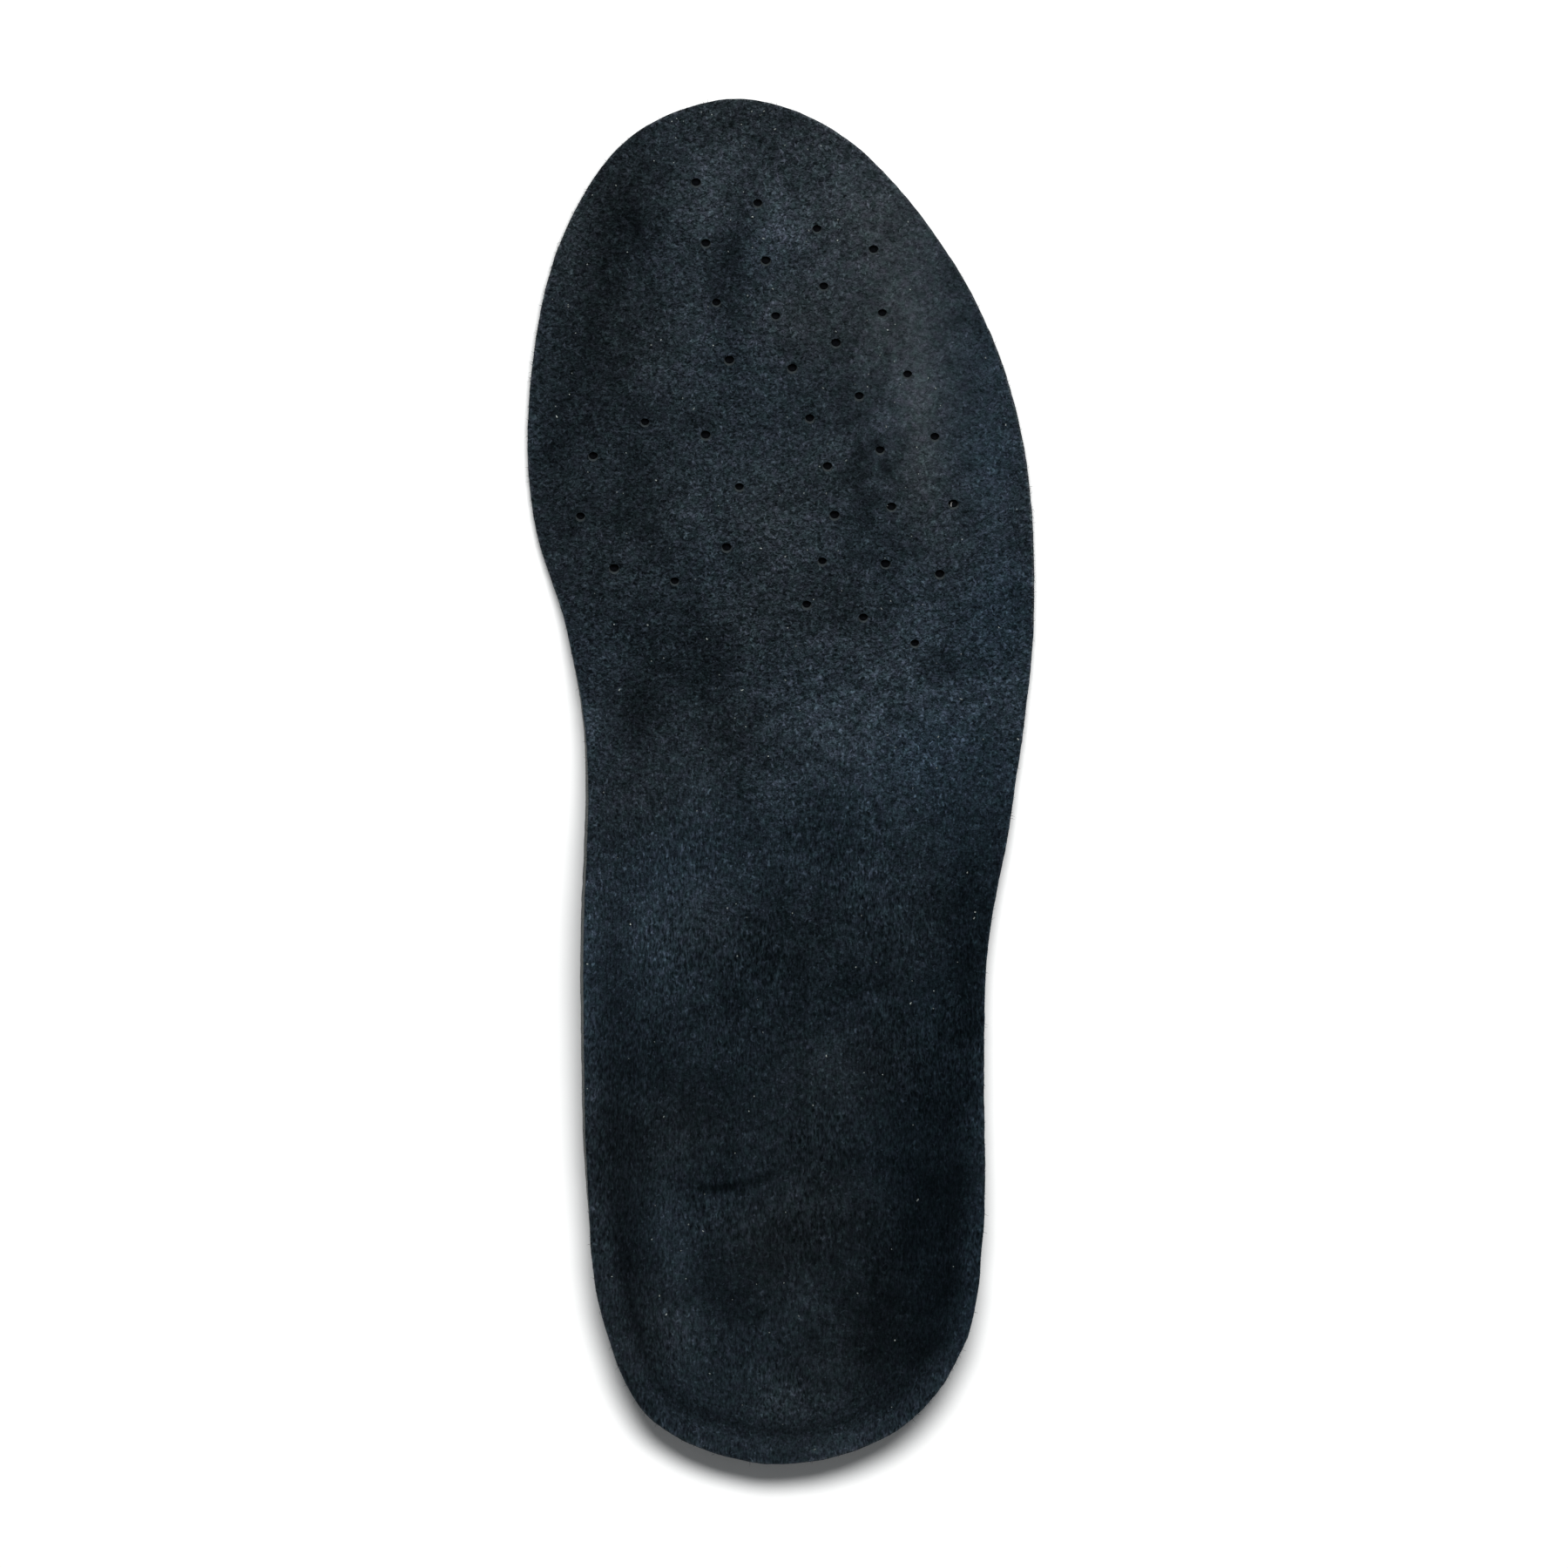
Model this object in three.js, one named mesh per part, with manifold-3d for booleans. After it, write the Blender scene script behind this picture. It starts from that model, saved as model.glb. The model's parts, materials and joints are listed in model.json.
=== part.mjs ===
// A cushioned insole for the right foot, as the layers that it is glued up from.
//
// Millimetres, +Z up, +Y towards the toes, +X towards the little toe. The origin is on the floor,
// under the middle of the outline. Every layer is a surface of heights over the same outline: the
// footbed, which the foot stands on, and the surfaces that lie one layer further down.

import * as THREE from 'three';
import { mergeVertices } from 'three/addons/utils/BufferGeometryUtils.js';
import Module from 'manifold-3d';

const wasm = await Module();
wasm.setup();

// ---- Driving dimensions ----

const LENGTH = 265; // heel to toe

// The cut edge from above: toe tip, down the arch side, round the heel, up the outer side.
const OUTLINE = [
  [-8.5, 132.5], [-29, 125.3], [-42, 106.8], [-48.6, 79], [-48.3, 52], [-41.8, 29.5], [-38.2, 8],
  [-38.9, -36], [-37.9, -77], [-34.4, -105], [-25, -123.9], [-1, -132.5], [23.5, -125.3],
  [35.6, -109.5], [39.3, -89], [39.5, -58], [40.2, -33], [44.9, -6], [49.3, 33], [46.4, 69.5],
  [34.5, 99.3], [12, 125.3],
];

// The middle line that the footbed's edge slopes run in towards.
const SPINE_HEEL = new THREE.Vector2(0.8, -93);
const SPINE_TOE = new THREE.Vector2(-3.5, 88);

// Thickness of each layer, and the film of glue between layers.
const COVER = 1;
const CUSHION = 1.6;
const GLUE = 0.2;
const FIT_GAP = 0.3; // between a let-in piece and its recess
const THINNEST = 0.05;

// Footbed heights, as [y, height] from heel to toe.
const SEAT = [[-132, 8], [-80, 8], [-25, 8.4], [25, 6.4], [60, 5.4], [132, 5]];
const INNER_RIM = [[-132, 17], [-95, 18], [-50, 23.5], [-18, 24], [12, 14], [45, 4.4], [70, 3.8]];
const OUTER_RIM = [[-132, 17], [-95, 17], [-50, 13.5], [-10, 8.5], [25, 4.6], [70, 3.8]];

// How far in from the edge the footbed's slope reaches, and the level band on top of the rim.
const INNER_SLOPE = [[-132, 15], [-90, 16], [-20, 28], [20, 24], [60, 9]];
const OUTER_SLOPE = [[-132, 15], [-90, 16], [-20, 15], [60, 9]];
const RIM_BAND = [[-132, 4], [-60, 3.5], [10, 2], [50, 0.5]];
const RIM_ROUNDING = 2.4;
const SLOPE_POWER = 2.2;

// How far the outside wall leans in, between the rim and the floor.
const INNER_LEAN = [[-132, 6], [-90, 7], [-25, 17], [15, 11], [50, 1.2], [70, 0.8]];
const OUTER_LEAN = [[-132, 6], [-60, 6], [0, 2.6], [50, 0.8]];
const WALL_SHARE = 0.85; // of the base's edge height, below an upright strip

// The dome that the metatarsal pad raises behind the ball of the foot.
const DOME = { x: 3, y: 9, halfWidth: 22, halfLength: 28, height: 2.2, padShare: 0.68 };

// The line that the toes bend at.
const FLEX_Y = 38;
const FLEX_ANGLE = THREE.MathUtils.degToRad(-15);
const FLEX_GAP = 0.3;

// Pieces let in from below.
const HEEL_PAD = { x: 1, y: -94, halfWidth: 21, halfLength: 25, thickness: 2.2 };
const BALL_PAD = { x: 0, y: 62, halfWidth: 34, halfLength: 16, turn: FLEX_ANGLE };
const SHELL = { y: -22, halfLength: 40, innerInset: 5, outerInset: 8, thickness: 1.6, squareness: 3.5 };
const FLOOR_CLEARANCE = 0.1;

// Perforations: four curved lines over the toes, and a ring round the ball of the big toe. `spread` is
// how much wider than the average the gaps are at the toe end of a line.
const HOLE_RADIUS = 0.9;
const HOLE_SIDES = 8;
const HOLE_LINES = [
  { count: 7, spread: -0.08, through: [[18, 103], [19, 93], [24.5, 79], [33.5, 53], [26, 26.5]] },
  { count: 8, spread: 0, through: [[7, 107], [10, 87], [19, 65], [21.5, 47], [16, 31.5]] },
  { count: 9, spread: 0.13, through: [[-4.5, 112], [-1, 90], [5, 72], [10.5, 53], [5, 34]] },
  { count: 4, spread: 0.03, through: [[-16.5, 116], [-13, 95], [-10, 81.5]] },
];
const HOLE_RING = { x: -23.5, y: 54, radius: 15.7, count: 8, first: 0.97 };

// Mesh fineness.
const FAN_STEPS = 10;
const STATIONS = 18;
const RING_DISTANCES = [0, 2.5, 5, 8, 12, 17, 24, 31];
const WALL_STEPS = 3;
const PAD_SIDES = 28;
const PAD_RINGS = 3;

// ---- Outline ----

const outline = makeOutline();

function makeOutline() {
  const points = OUTLINE.map(([x, y]) => new THREE.Vector3(x, y, 0));
  const curve = new THREE.CatmullRomCurve3(points, true, 'centripetal');
  const edge = curve.getSpacedPoints(420);
  const size = new THREE.Box3().setFromPoints(edge);
  const middle = size.getCenter(new THREE.Vector3());
  const scale = LENGTH / (size.max.y - size.min.y);
  return edge.map((p) => new THREE.Vector2((p.x - middle.x) * scale, (p.y - middle.y) * scale));
}

// The point where a level line from `from` at `angle` crosses the outline.
function edgePoint(from, angle) {
  const direction = new THREE.Vector2(Math.cos(angle), Math.sin(angle));
  for (let i = 0; i < outline.length - 1; i++) {
    const side = outline[i + 1].clone().sub(outline[i]);
    const offset = outline[i].clone().sub(from);
    const across = direction.cross(side);
    const reach = offset.cross(side) / across;
    const share = offset.cross(direction) / across;
    if (reach > 0 && share >= 0 && share < 1) return direction.multiplyScalar(reach).add(from);
  }
  throw new Error('the line misses the outline');
}

function spinePoint(y) {
  const share = THREE.MathUtils.clamp((y - SPINE_HEEL.y) / (SPINE_TOE.y - SPINE_HEEL.y), 0, 1);
  return SPINE_HEEL.clone().lerp(SPINE_TOE, share);
}

// ---- Heights ----

// The value at y of a smooth curve through [y, value] pairs, level beyond its ends.
function along(keys, y) {
  const last = keys.length - 1;
  if (y <= keys[0][0]) return keys[0][1];
  if (y >= keys[last][0]) return keys[last][1];
  const i = keys.findIndex(([at]) => at > y) - 1;
  const span = keys[i + 1][0] - keys[i][0];
  const t = (y - keys[i][0]) / span;
  const [a, b] = [keySlope(keys, i) * span, keySlope(keys, i + 1) * span];
  const rise = keys[i + 1][1] - keys[i][1];
  return keys[i][1] + t * (a + t * (3 * rise - 2 * a - b + t * (a + b - 2 * rise)));
}

function keySlope(keys, i) {
  if (i === 0 || i === keys.length - 1) return 0;
  return (keys[i + 1][1] - keys[i - 1][1]) / (keys[i + 1][0] - keys[i - 1][0]);
}

// The nearest point of the edge straight out from the middle line, its distance and its side.
function toEdge(x, y) {
  const from = spinePoint(y);
  const edge = edgePoint(from, Math.atan2(y - from.y, x - from.x));
  return { edge, inner: edge.x < from.x, distance: Math.hypot(edge.x - x, edge.y - y) };
}

// The footbed's height at a distance in from the edge, without the dome.
function slopeHeight({ edge, inner }, distance, y) {
  const rim = along(inner ? INNER_RIM : OUTER_RIM, edge.y);
  const width = along(inner ? INNER_SLOPE : OUTER_SLOPE, edge.y);
  const inside = distance - along(RIM_BAND, edge.y);
  const past = (inside + Math.hypot(inside, RIM_ROUNDING)) / 2;
  const share = Math.max(0, 1 - past / width) ** SLOPE_POWER;
  const seat = along(SEAT, y);
  return seat + (rim - seat) * share;
}

// How much taller than its thickness a layer stands where the footbed slopes.
function steepness(place, y) {
  const step = 0.25;
  const [further, nearer] = [step, -step].map((by) => slopeHeight(place, place.distance + by, y));
  return Math.hypot(1, (further - nearer) / (2 * step));
}

function domeHeight(x, y) {
  const reach = Math.hypot((x - DOME.x) / DOME.halfWidth, (y - DOME.y) / DOME.halfLength);
  return reach < 1 ? DOME.height * (1 - reach ** 2) ** 2 : 0;
}

// The surface `depth` below the footbed.
function below(depth) {
  return (x, y) => {
    const place = toEdge(x, y);
    return slopeHeight(place, place.distance, y) - depth * steepness(place, y) + domeHeight(x, y);
  };
}

const BASE_DEPTH = COVER + GLUE + CUSHION + GLUE;

// The top of the base, which lies flat under the metatarsal pad.
function baseTop(x, y) {
  return below(BASE_DEPTH)(x, y) - domeHeight(x, y);
}

// The underside: flat on the floor, and curving up to the rim over the wall's lean.
function underside(x, y) {
  const place = toEdge(x, y);
  const lean = wallLean(place);
  if (place.distance >= lean) return 0;
  const rim = slopeHeight(place, 0, place.edge.y) - BASE_DEPTH;
  return WALL_SHARE * rim * (1 - Math.sqrt(1 - (1 - place.distance / lean) ** 2));
}

function wallLean({ edge, inner }) {
  return along(inner ? INNER_LEAN : OUTER_LEAN, edge.y);
}

// ---- Closed bodies between two surfaces ----

// Rays from the middle line out to the edge, anticlockwise from above.
function insoleRays() {
  const rays = [];
  const add = (from, angle) => rays.push({ from, to: edgePoint(from, angle) });
  const station = (i) => SPINE_TOE.clone().lerp(SPINE_HEEL, i / STATIONS);
  for (let i = 0; i <= FAN_STEPS; i++) add(SPINE_TOE, (Math.PI * i) / FAN_STEPS);
  for (let i = 1; i < STATIONS; i++) add(station(i), Math.PI);
  for (let i = 0; i <= FAN_STEPS; i++) add(SPINE_HEEL, Math.PI * (1 + i / FAN_STEPS));
  for (let i = STATIONS - 1; i > 0; i--) add(station(i), 0);
  return rays;
}

const fullRays = insoleRays();

// The shares of each ray, from its outer end, at which the rings of a full-length layer lie.
function layerShares(ray) {
  const length = ray.to.distanceTo(ray.from);
  return [...RING_DISTANCES.map((distance) => distance / length), 1];
}

// The same for the underside, closer together on the wall.
function wallShares(ray) {
  const inner = ray.to.x < ray.from.x;
  const lean = wallLean({ edge: ray.to, inner }) / ray.to.distanceTo(ray.from);
  const shares = [];
  for (let i = 0; i <= WALL_STEPS; i++) {
    shares.push(lean * (1 - Math.cos((Math.PI * i) / (2 * WALL_STEPS))));
  }
  return [...shares, 1];
}

function padShares() {
  return Array.from({ length: PAD_RINGS + 1 }, (_, i) => i / PAD_RINGS);
}

function surfaceRings(rays, shares, height) {
  const count = shares(rays[0]).length;
  return Array.from({ length: count }, (_, ring) => rays.map((ray) => {
    const p = ray.to.clone().lerp(ray.from, shares(ray)[ring]);
    return new THREE.Vector3(p.x, p.y, height(p.x, p.y));
  }));
}

// One closed body with `top` and `bottom` as its surfaces and an upright side between them.
function bodyBetween(rays, top, bottom, topShares, bottomShares = topShares) {
  const upper = surfaceRings(rays, topShares, top);
  const lower = surfaceRings(rays, bottomShares, bottom);
  const corners = [];
  const quad = (a, b, c, d) => corners.push(a, b, c, a, c, d);
  for (let i = 0; i < rays.length; i++) {
    const next = (i + 1) % rays.length;
    for (let r = 0; r < upper.length - 1; r++) {
      quad(upper[r][i], upper[r][next], upper[r + 1][next], upper[r + 1][i]);
    }
    for (let r = 0; r < lower.length - 1; r++) {
      quad(lower[r][i], lower[r + 1][i], lower[r + 1][next], lower[r][next]);
    }
    quad(lower[0][i], lower[0][next], upper[0][next], upper[0][i]);
  }
  return solidOf(new THREE.BufferGeometry().setFromPoints(corners));
}

// Rays of an oval pad; squareness 2 is an ellipse, and more is a rounded rectangle.
function ovalRays(centre, outerPoint, squareness = 2) {
  const power = (value) => Math.sign(value) * Math.abs(value) ** (2 / squareness);
  return Array.from({ length: PAD_SIDES }, (_, i) => {
    const angle = (2 * Math.PI * i) / PAD_SIDES;
    return { from: centre, to: outerPoint(power(Math.cos(angle)), power(Math.sin(angle))) };
  });
}

function padRays({ x, y, halfWidth, halfLength, turn = 0 }, grow = 0) {
  const centre = new THREE.Vector2(x, y);
  const outerPoint = (u, v) => {
    const offset = new THREE.Vector2(u * (halfWidth + grow), v * (halfLength + grow));
    return offset.rotateAround(new THREE.Vector2(), turn).add(centre);
  };
  return ovalRays(centre, outerPoint);
}

// The shell keeps its distance from the edge on both sides.
function shellRays(grow = 0) {
  const outerPoint = (u, v) => {
    const y = SHELL.y + v * (SHELL.halfLength + grow);
    const inner = edgePoint(spinePoint(y), Math.PI).x + SHELL.innerInset - grow;
    const outer = edgePoint(spinePoint(y), 0).x - SHELL.outerInset + grow;
    return new THREE.Vector2((inner + outer) / 2 + (u * (outer - inner)) / 2, y);
  };
  return ovalRays(outerPoint(0, 0), outerPoint, SHELL.squareness);
}

// The surface a given thickness above the underside.
function aboveUnderside(thickness) {
  const step = 0.25;
  return (x, y) => {
    const fall = underside(x + step, y) - underside(x - step, y);
    return underside(x, y) + thickness * Math.hypot(1, fall / (2 * step));
  };
}

// ---- Cuts ----

function solidOf(geometry) {
  geometry.deleteAttribute('normal');
  geometry.deleteAttribute('uv');
  const merged = mergeVertices(geometry);
  const index = Array.from(merged.index.array);
  const faces = [];
  for (let i = 0; i < index.length; i += 3) {
    const face = index.slice(i, i + 3);
    if (new Set(face).size === 3) faces.push(...face);
  }
  return new wasm.Manifold(new wasm.Mesh({
    numProp: 3,
    vertProperties: new Float32Array(merged.attributes.position.array),
    triVerts: new Uint32Array(faces),
  }));
}

function geometryOf(solid) {
  const mesh = solid.getMesh();
  const geometry = new THREE.BufferGeometry();
  geometry.setAttribute('position', new THREE.BufferAttribute(mesh.vertProperties, 3));
  geometry.setIndex(new THREE.BufferAttribute(mesh.triVerts, 1));
  return geometry;
}

// A large block on one side of the flex line: +1 is the toe side, -1 the heel side.
function flexSide(side) {
  const size = 2 * LENGTH;
  const block = new THREE.BoxGeometry(size, size, size);
  block.translate(0, side * (size / 2 + FLEX_GAP / 2), 0);
  block.rotateZ(FLEX_ANGLE);
  block.translate(0, FLEX_Y, 0);
  return solidOf(block);
}

function holePositions() {
  const lines = HOLE_LINES.flatMap(({ count, spread, through }) => {
    const points = through.map(([x, y]) => new THREE.Vector3(x, y, 0));
    const curve = new THREE.CatmullRomCurve3(points, false, 'centripetal');
    return Array.from({ length: count }, (_, i) => {
      const share = i / (count - 1);
      return curve.getPointAt(share + spread * share * (1 - share));
    });
  });
  const ring = Array.from({ length: HOLE_RING.count }, (_, i) => {
    const angle = HOLE_RING.first + (2 * Math.PI * i) / HOLE_RING.count;
    return new THREE.Vector2(
      HOLE_RING.x + HOLE_RING.radius * Math.cos(angle),
      HOLE_RING.y + HOLE_RING.radius * Math.sin(angle),
    );
  });
  return [...lines, ...ring];
}

function perforations() {
  const punches = holePositions().map(({ x, y }) => {
    const punch = new THREE.CylinderGeometry(HOLE_RADIUS, HOLE_RADIUS, 2 * BASE_DEPTH, HOLE_SIDES);
    punch.rotateX(Math.PI / 2);
    punch.translate(x, y, below(0)(x, y));
    return solidOf(punch);
  });
  return punches.reduce((all, punch) => all.add(punch));
}

// ---- The pieces ----

const deep = () => -LENGTH;
const punches = perforations();
const cushionDepth = COVER + GLUE;

function topCover() {
  return bodyBetween(fullRays, below(0), below(COVER), layerShares).subtract(punches);
}

function cushionLayer() {
  const bottom = below(cushionDepth + CUSHION);
  return bodyBetween(fullRays, below(cushionDepth), bottom, layerShares).subtract(punches);
}

// An oval punched out of what fits between the base and the cushion layer.
function metatarsalPad() {
  const rays = padRays({
    x: DOME.x,
    y: DOME.y,
    halfWidth: DOME.halfWidth * DOME.padShare,
    halfLength: DOME.halfLength * DOME.padShare,
  });
  const oval = bodyBetween(rays, () => LENGTH, deep, padShares);
  const top = (x, y) => baseTop(x, y) + Math.max(domeHeight(x, y), GLUE + THINNEST);
  return bodyBetween(fullRays, top, (x, y) => baseTop(x, y) + GLUE, layerShares).intersect(oval);
}

function wholeBase() {
  return bodyBetween(fullRays, baseTop, underside, layerShares, wallShares);
}

function heelPad() {
  const top = () => HEEL_PAD.thickness + FLOOR_CLEARANCE;
  return bodyBetween(padRays(HEEL_PAD), top, () => FLOOR_CLEARANCE, padShares);
}

function heelRecess() {
  const roof = HEEL_PAD.thickness + FLOOR_CLEARANCE + FIT_GAP;
  return bodyBetween(padRays(HEEL_PAD, FIT_GAP), () => roof, deep, padShares);
}

function ballPad() {
  return bodyBetween(padRays(BALL_PAD), baseTop, () => FLOOR_CLEARANCE, padShares);
}

function ballWindow() {
  return bodyBetween(padRays(BALL_PAD, FIT_GAP), () => LENGTH, deep, padShares);
}

function archShell() {
  const top = aboveUnderside(SHELL.thickness);
  return bodyBetween(shellRays(), top, aboveUnderside(FLOOR_CLEARANCE), padShares);
}

function shellRecess() {
  return bodyBetween(shellRays(FIT_GAP), aboveUnderside(SHELL.thickness + FIT_GAP), deep, padShares);
}

function rearBase(base) {
  return base.intersect(flexSide(-1)).subtract(shellRecess()).subtract(heelRecess());
}

function forefootBase(base) {
  return base.intersect(flexSide(1)).subtract(ballWindow());
}

function piece(name, solid, color, roughness, metalness = 0) {
  const material = new THREE.MeshStandardMaterial({ color, roughness, metalness });
  const mesh = new THREE.Mesh(geometryOf(solid), material);
  mesh.name = name;
  return mesh;
}

const base = wholeBase();
const insole = new THREE.Group();
insole.add(
  piece('top_cover', topCover(), 0x1d242b, 0.95),
  piece('cushion_layer', cushionLayer(), 0x505252, 0.9),
  piece('metatarsal_pad', metatarsalPad(), 0x8a8f92, 0.85),
  piece('rear_base', rearBase(base), 0x292c30, 0.85),
  piece('forefoot_base', forefootBase(base), 0x303337, 0.88),
  piece('arch_shell', archShell(), 0x14161a, 0.45),
  piece('heel_pad', heelPad(), 0x223542, 0.5),
  piece('ball_pad', ballPad(), 0x223542, 0.5),
);

export default insole;
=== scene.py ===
"""A cushioned insole for the right foot, lying on a white floor and seen from straight above.

The layers are surfaces of heights over one outline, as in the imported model, made finer here. Lengths are
millimetres up to the point where a mesh is made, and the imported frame's metres after it: +Y towards the
toes, +X towards the little toe, +Z up.
"""

import json
import math

import bmesh
import bpy
import numpy as np
from mathutils import Matrix


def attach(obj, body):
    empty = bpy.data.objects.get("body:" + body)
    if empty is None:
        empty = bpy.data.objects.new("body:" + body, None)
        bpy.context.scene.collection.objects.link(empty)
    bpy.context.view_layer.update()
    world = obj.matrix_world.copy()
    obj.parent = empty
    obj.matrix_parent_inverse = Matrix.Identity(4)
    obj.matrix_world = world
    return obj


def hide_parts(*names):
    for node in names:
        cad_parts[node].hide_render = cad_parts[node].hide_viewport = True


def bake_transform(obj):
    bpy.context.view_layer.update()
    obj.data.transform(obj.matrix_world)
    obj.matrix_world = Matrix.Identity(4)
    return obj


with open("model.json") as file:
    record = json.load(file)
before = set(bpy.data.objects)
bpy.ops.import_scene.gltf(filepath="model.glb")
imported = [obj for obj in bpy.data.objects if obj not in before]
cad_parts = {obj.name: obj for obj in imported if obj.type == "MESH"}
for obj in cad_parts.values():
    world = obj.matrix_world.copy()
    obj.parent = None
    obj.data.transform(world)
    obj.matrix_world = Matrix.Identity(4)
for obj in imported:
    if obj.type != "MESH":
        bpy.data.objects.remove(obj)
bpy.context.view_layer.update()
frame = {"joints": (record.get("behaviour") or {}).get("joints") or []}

MM = 0.001

# ---- The insole's shape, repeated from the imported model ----

LENGTH = 265
CURVE_STEPS = 40  # from one point of a curve to the next
EDGE_POINTS = 3000
OUTLINE = [
    (-8.5, 132.5), (-29, 125.3), (-42, 106.8), (-48.6, 79), (-48.3, 52), (-41.8, 29.5), (-38.2, 8),
    (-38.9, -36), (-37.9, -77), (-34.4, -105), (-25, -123.9), (-1, -132.5), (23.5, -125.3),
    (35.6, -109.5), (39.3, -89), (39.5, -58), (40.2, -33), (44.9, -6), (49.3, 33), (46.4, 69.5),
    (34.5, 99.3), (12, 125.3),
]
SPINE_HEEL = (0.8, -93)
SPINE_TOE = (-3.5, 88)
COVER = 1
CUSHION = 1.6
GLUE = 0.2
FIT_GAP = 0.3
SEAT = [(-132, 8), (-80, 8), (-25, 8.4), (25, 6.4), (60, 5.4), (132, 5)]
INNER_RIM = [(-132, 17), (-95, 18), (-50, 23.5), (-18, 24), (12, 14), (45, 4.4), (70, 3.8)]
OUTER_RIM = [(-132, 17), (-95, 17), (-50, 13.5), (-10, 8.5), (25, 4.6), (70, 3.8)]
INNER_SLOPE = [(-132, 15), (-90, 16), (-20, 28), (20, 24), (60, 9)]
OUTER_SLOPE = [(-132, 15), (-90, 16), (-20, 15), (60, 9)]
RIM_BAND = [(-132, 4), (-60, 3.5), (10, 2), (50, 0.5)]
RIM_ROUNDING = 2.4
SLOPE_POWER = 2.2
INNER_LEAN = [(-132, 6), (-90, 7), (-25, 17), (15, 11), (50, 1.2), (70, 0.8)]
OUTER_LEAN = [(-132, 6), (-60, 6), (0, 2.6), (50, 0.8)]
WALL_SHARE = 0.85
DOME = {"at": (3, 9), "half": (22, 28), "height": 2.2, "pad_share": 0.68}
FLEX = next(joint for joint in frame["joints"] if joint["name"] == "toe_flex")
FLEX_Y = FLEX["pos_m"][1] / MM
FLEX_TURN = math.degrees(math.atan2(FLEX["axis"][1], FLEX["axis"][0]))
FLEX_ANGLE = math.radians(round(FLEX_TURN, 3))  # the frame rounds the axis too
HEEL_PAD = {"at": (1, -94), "half": (21, 25), "turn": 0, "thickness": 2.2}
BALL_PAD = {"at": (0, 62), "half": (34, 16), "turn": FLEX_ANGLE}
SHELL = {"y": -22, "half_length": 40, "inner_inset": 5, "outer_inset": 8, "thickness": 1.6}
SHELL_SQUARENESS = 3.5
FLOOR_CLEARANCE = 0.1
BASE_DEPTH = COVER + GLUE + CUSHION + GLUE
SLOPE_STEP = 0.25  # to either side, when a surface's slope is measured

HOLE_RADIUS = 0.88
# Lines of holes from the toes: how many, how much wider than the average the first gaps are, and the curve
# they lie on.
HOLE_LINES = [
    (7, -0.08, [(18, 103), (19, 93), (24.5, 79), (33.5, 53), (26, 26.5)]),
    (8, 0, [(7, 107), (10, 87), (19, 65), (21.5, 47), (16, 31.5)]),
    (9, 0.13, [(-4.5, 112), (-1, 90), (5, 72), (10.5, 53), (5, 34)]),
    (4, 0.03, [(-16.5, 116), (-13, 95), (-10, 81.5)]),
]
HOLE_RING = {"at": (-23.5, 54), "radius": 15.7, "count": 8, "first": 0.97}

# ---- Fineness and surface detail ----

COVER_STEP = 0.62  # between rays at the edge, for each layer
FOAM_STEP = 1.6
BASE_STEP = 1.4
OVAL_SIDES = 96
EDGE_INSETS = (0, 0.12, 0.3, 0.6)  # rings close together, where a surface turns down at its edge
RING_REACH = 40  # how far in from the edge the rings go before the last step to the middle
TO_MIDDLE = 1000  # an inset longer than any ray
SHARP_ANGLE = math.radians(40)  # a steeper edge between faces is shaded as a crisp one
SEED = 7

# The punches for the perforations.
PUNCH_LEAN = math.radians(17)
PUNCH_OVAL = 1.15  # width over length
PUNCH_SIDES = 20
PUNCH_TAPER = 0.25  # wider at the top and narrower at the bottom, by this share
PUNCH_SIZES = (0.95, 1.1)  # from the smallest to the largest, as shares of the usual size

# The gel pads' pressed dots and the arch plate's grooves, with `half_share` of the pitch as half a width.
DOTS = {"depth": 0.7, "pitch": 4.2, "radius": 1.6}
GROOVES = {"depth": 0.5, "pitch": 9, "slant": 0.1, "half_share": 0.09, "end_inset": 12, "side_inset": 17}

# How far the cover's cut edge stands back from the outline, so that the foam under it shows.
INNER_SETBACK = [(-95, 0), (-72, 0.5), (-8, 0.65), (14, 0.25), (40, 0)]
HEEL_RADIUS = 39  # of the outline round the heel
SNIP_COUNT = 120  # more than enough to go all the way round
SNIP_LENGTH = (7, 13)  # of the straight snips that the heel was trimmed in
SNIP_SHARE = 0.3  # of the full depth that straight snips would cut off
RAGGED = [(0.05, 1.1, 1), (0.06, 6, 2)]  # (depth, length along the edge, seed)

# Relief of the cover's upper face: (height, size, seed) for noise, and insets from the edge.
NAP_RELIEF = [(0.035, 1.3, 3), (0.05, 2.4, 4)]
CRINKLE_HEIGHT = 0.11
DIMPLE = {"depth": 0.2, "half": (1.5, 1.5)}
BEAD = {"height": 0.35, "inset": 3, "half": 2, "span": (-50, -90)}
GROOVE = {"depth": 0.4, "inset": 6, "half": 1.8, "span": (-76, -98), "outer_span": (-118, -132)}
GROOVE_LEAST = 0.25  # of its strength on the outer side
CREST_SHIFT = 2  # from the groove outwards to the crest beside it
CREASE = {"depth": 0.3, "at": (-11, -79), "half": (10, 1.2), "curve": 0.02, "curve_x": -13}

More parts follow.
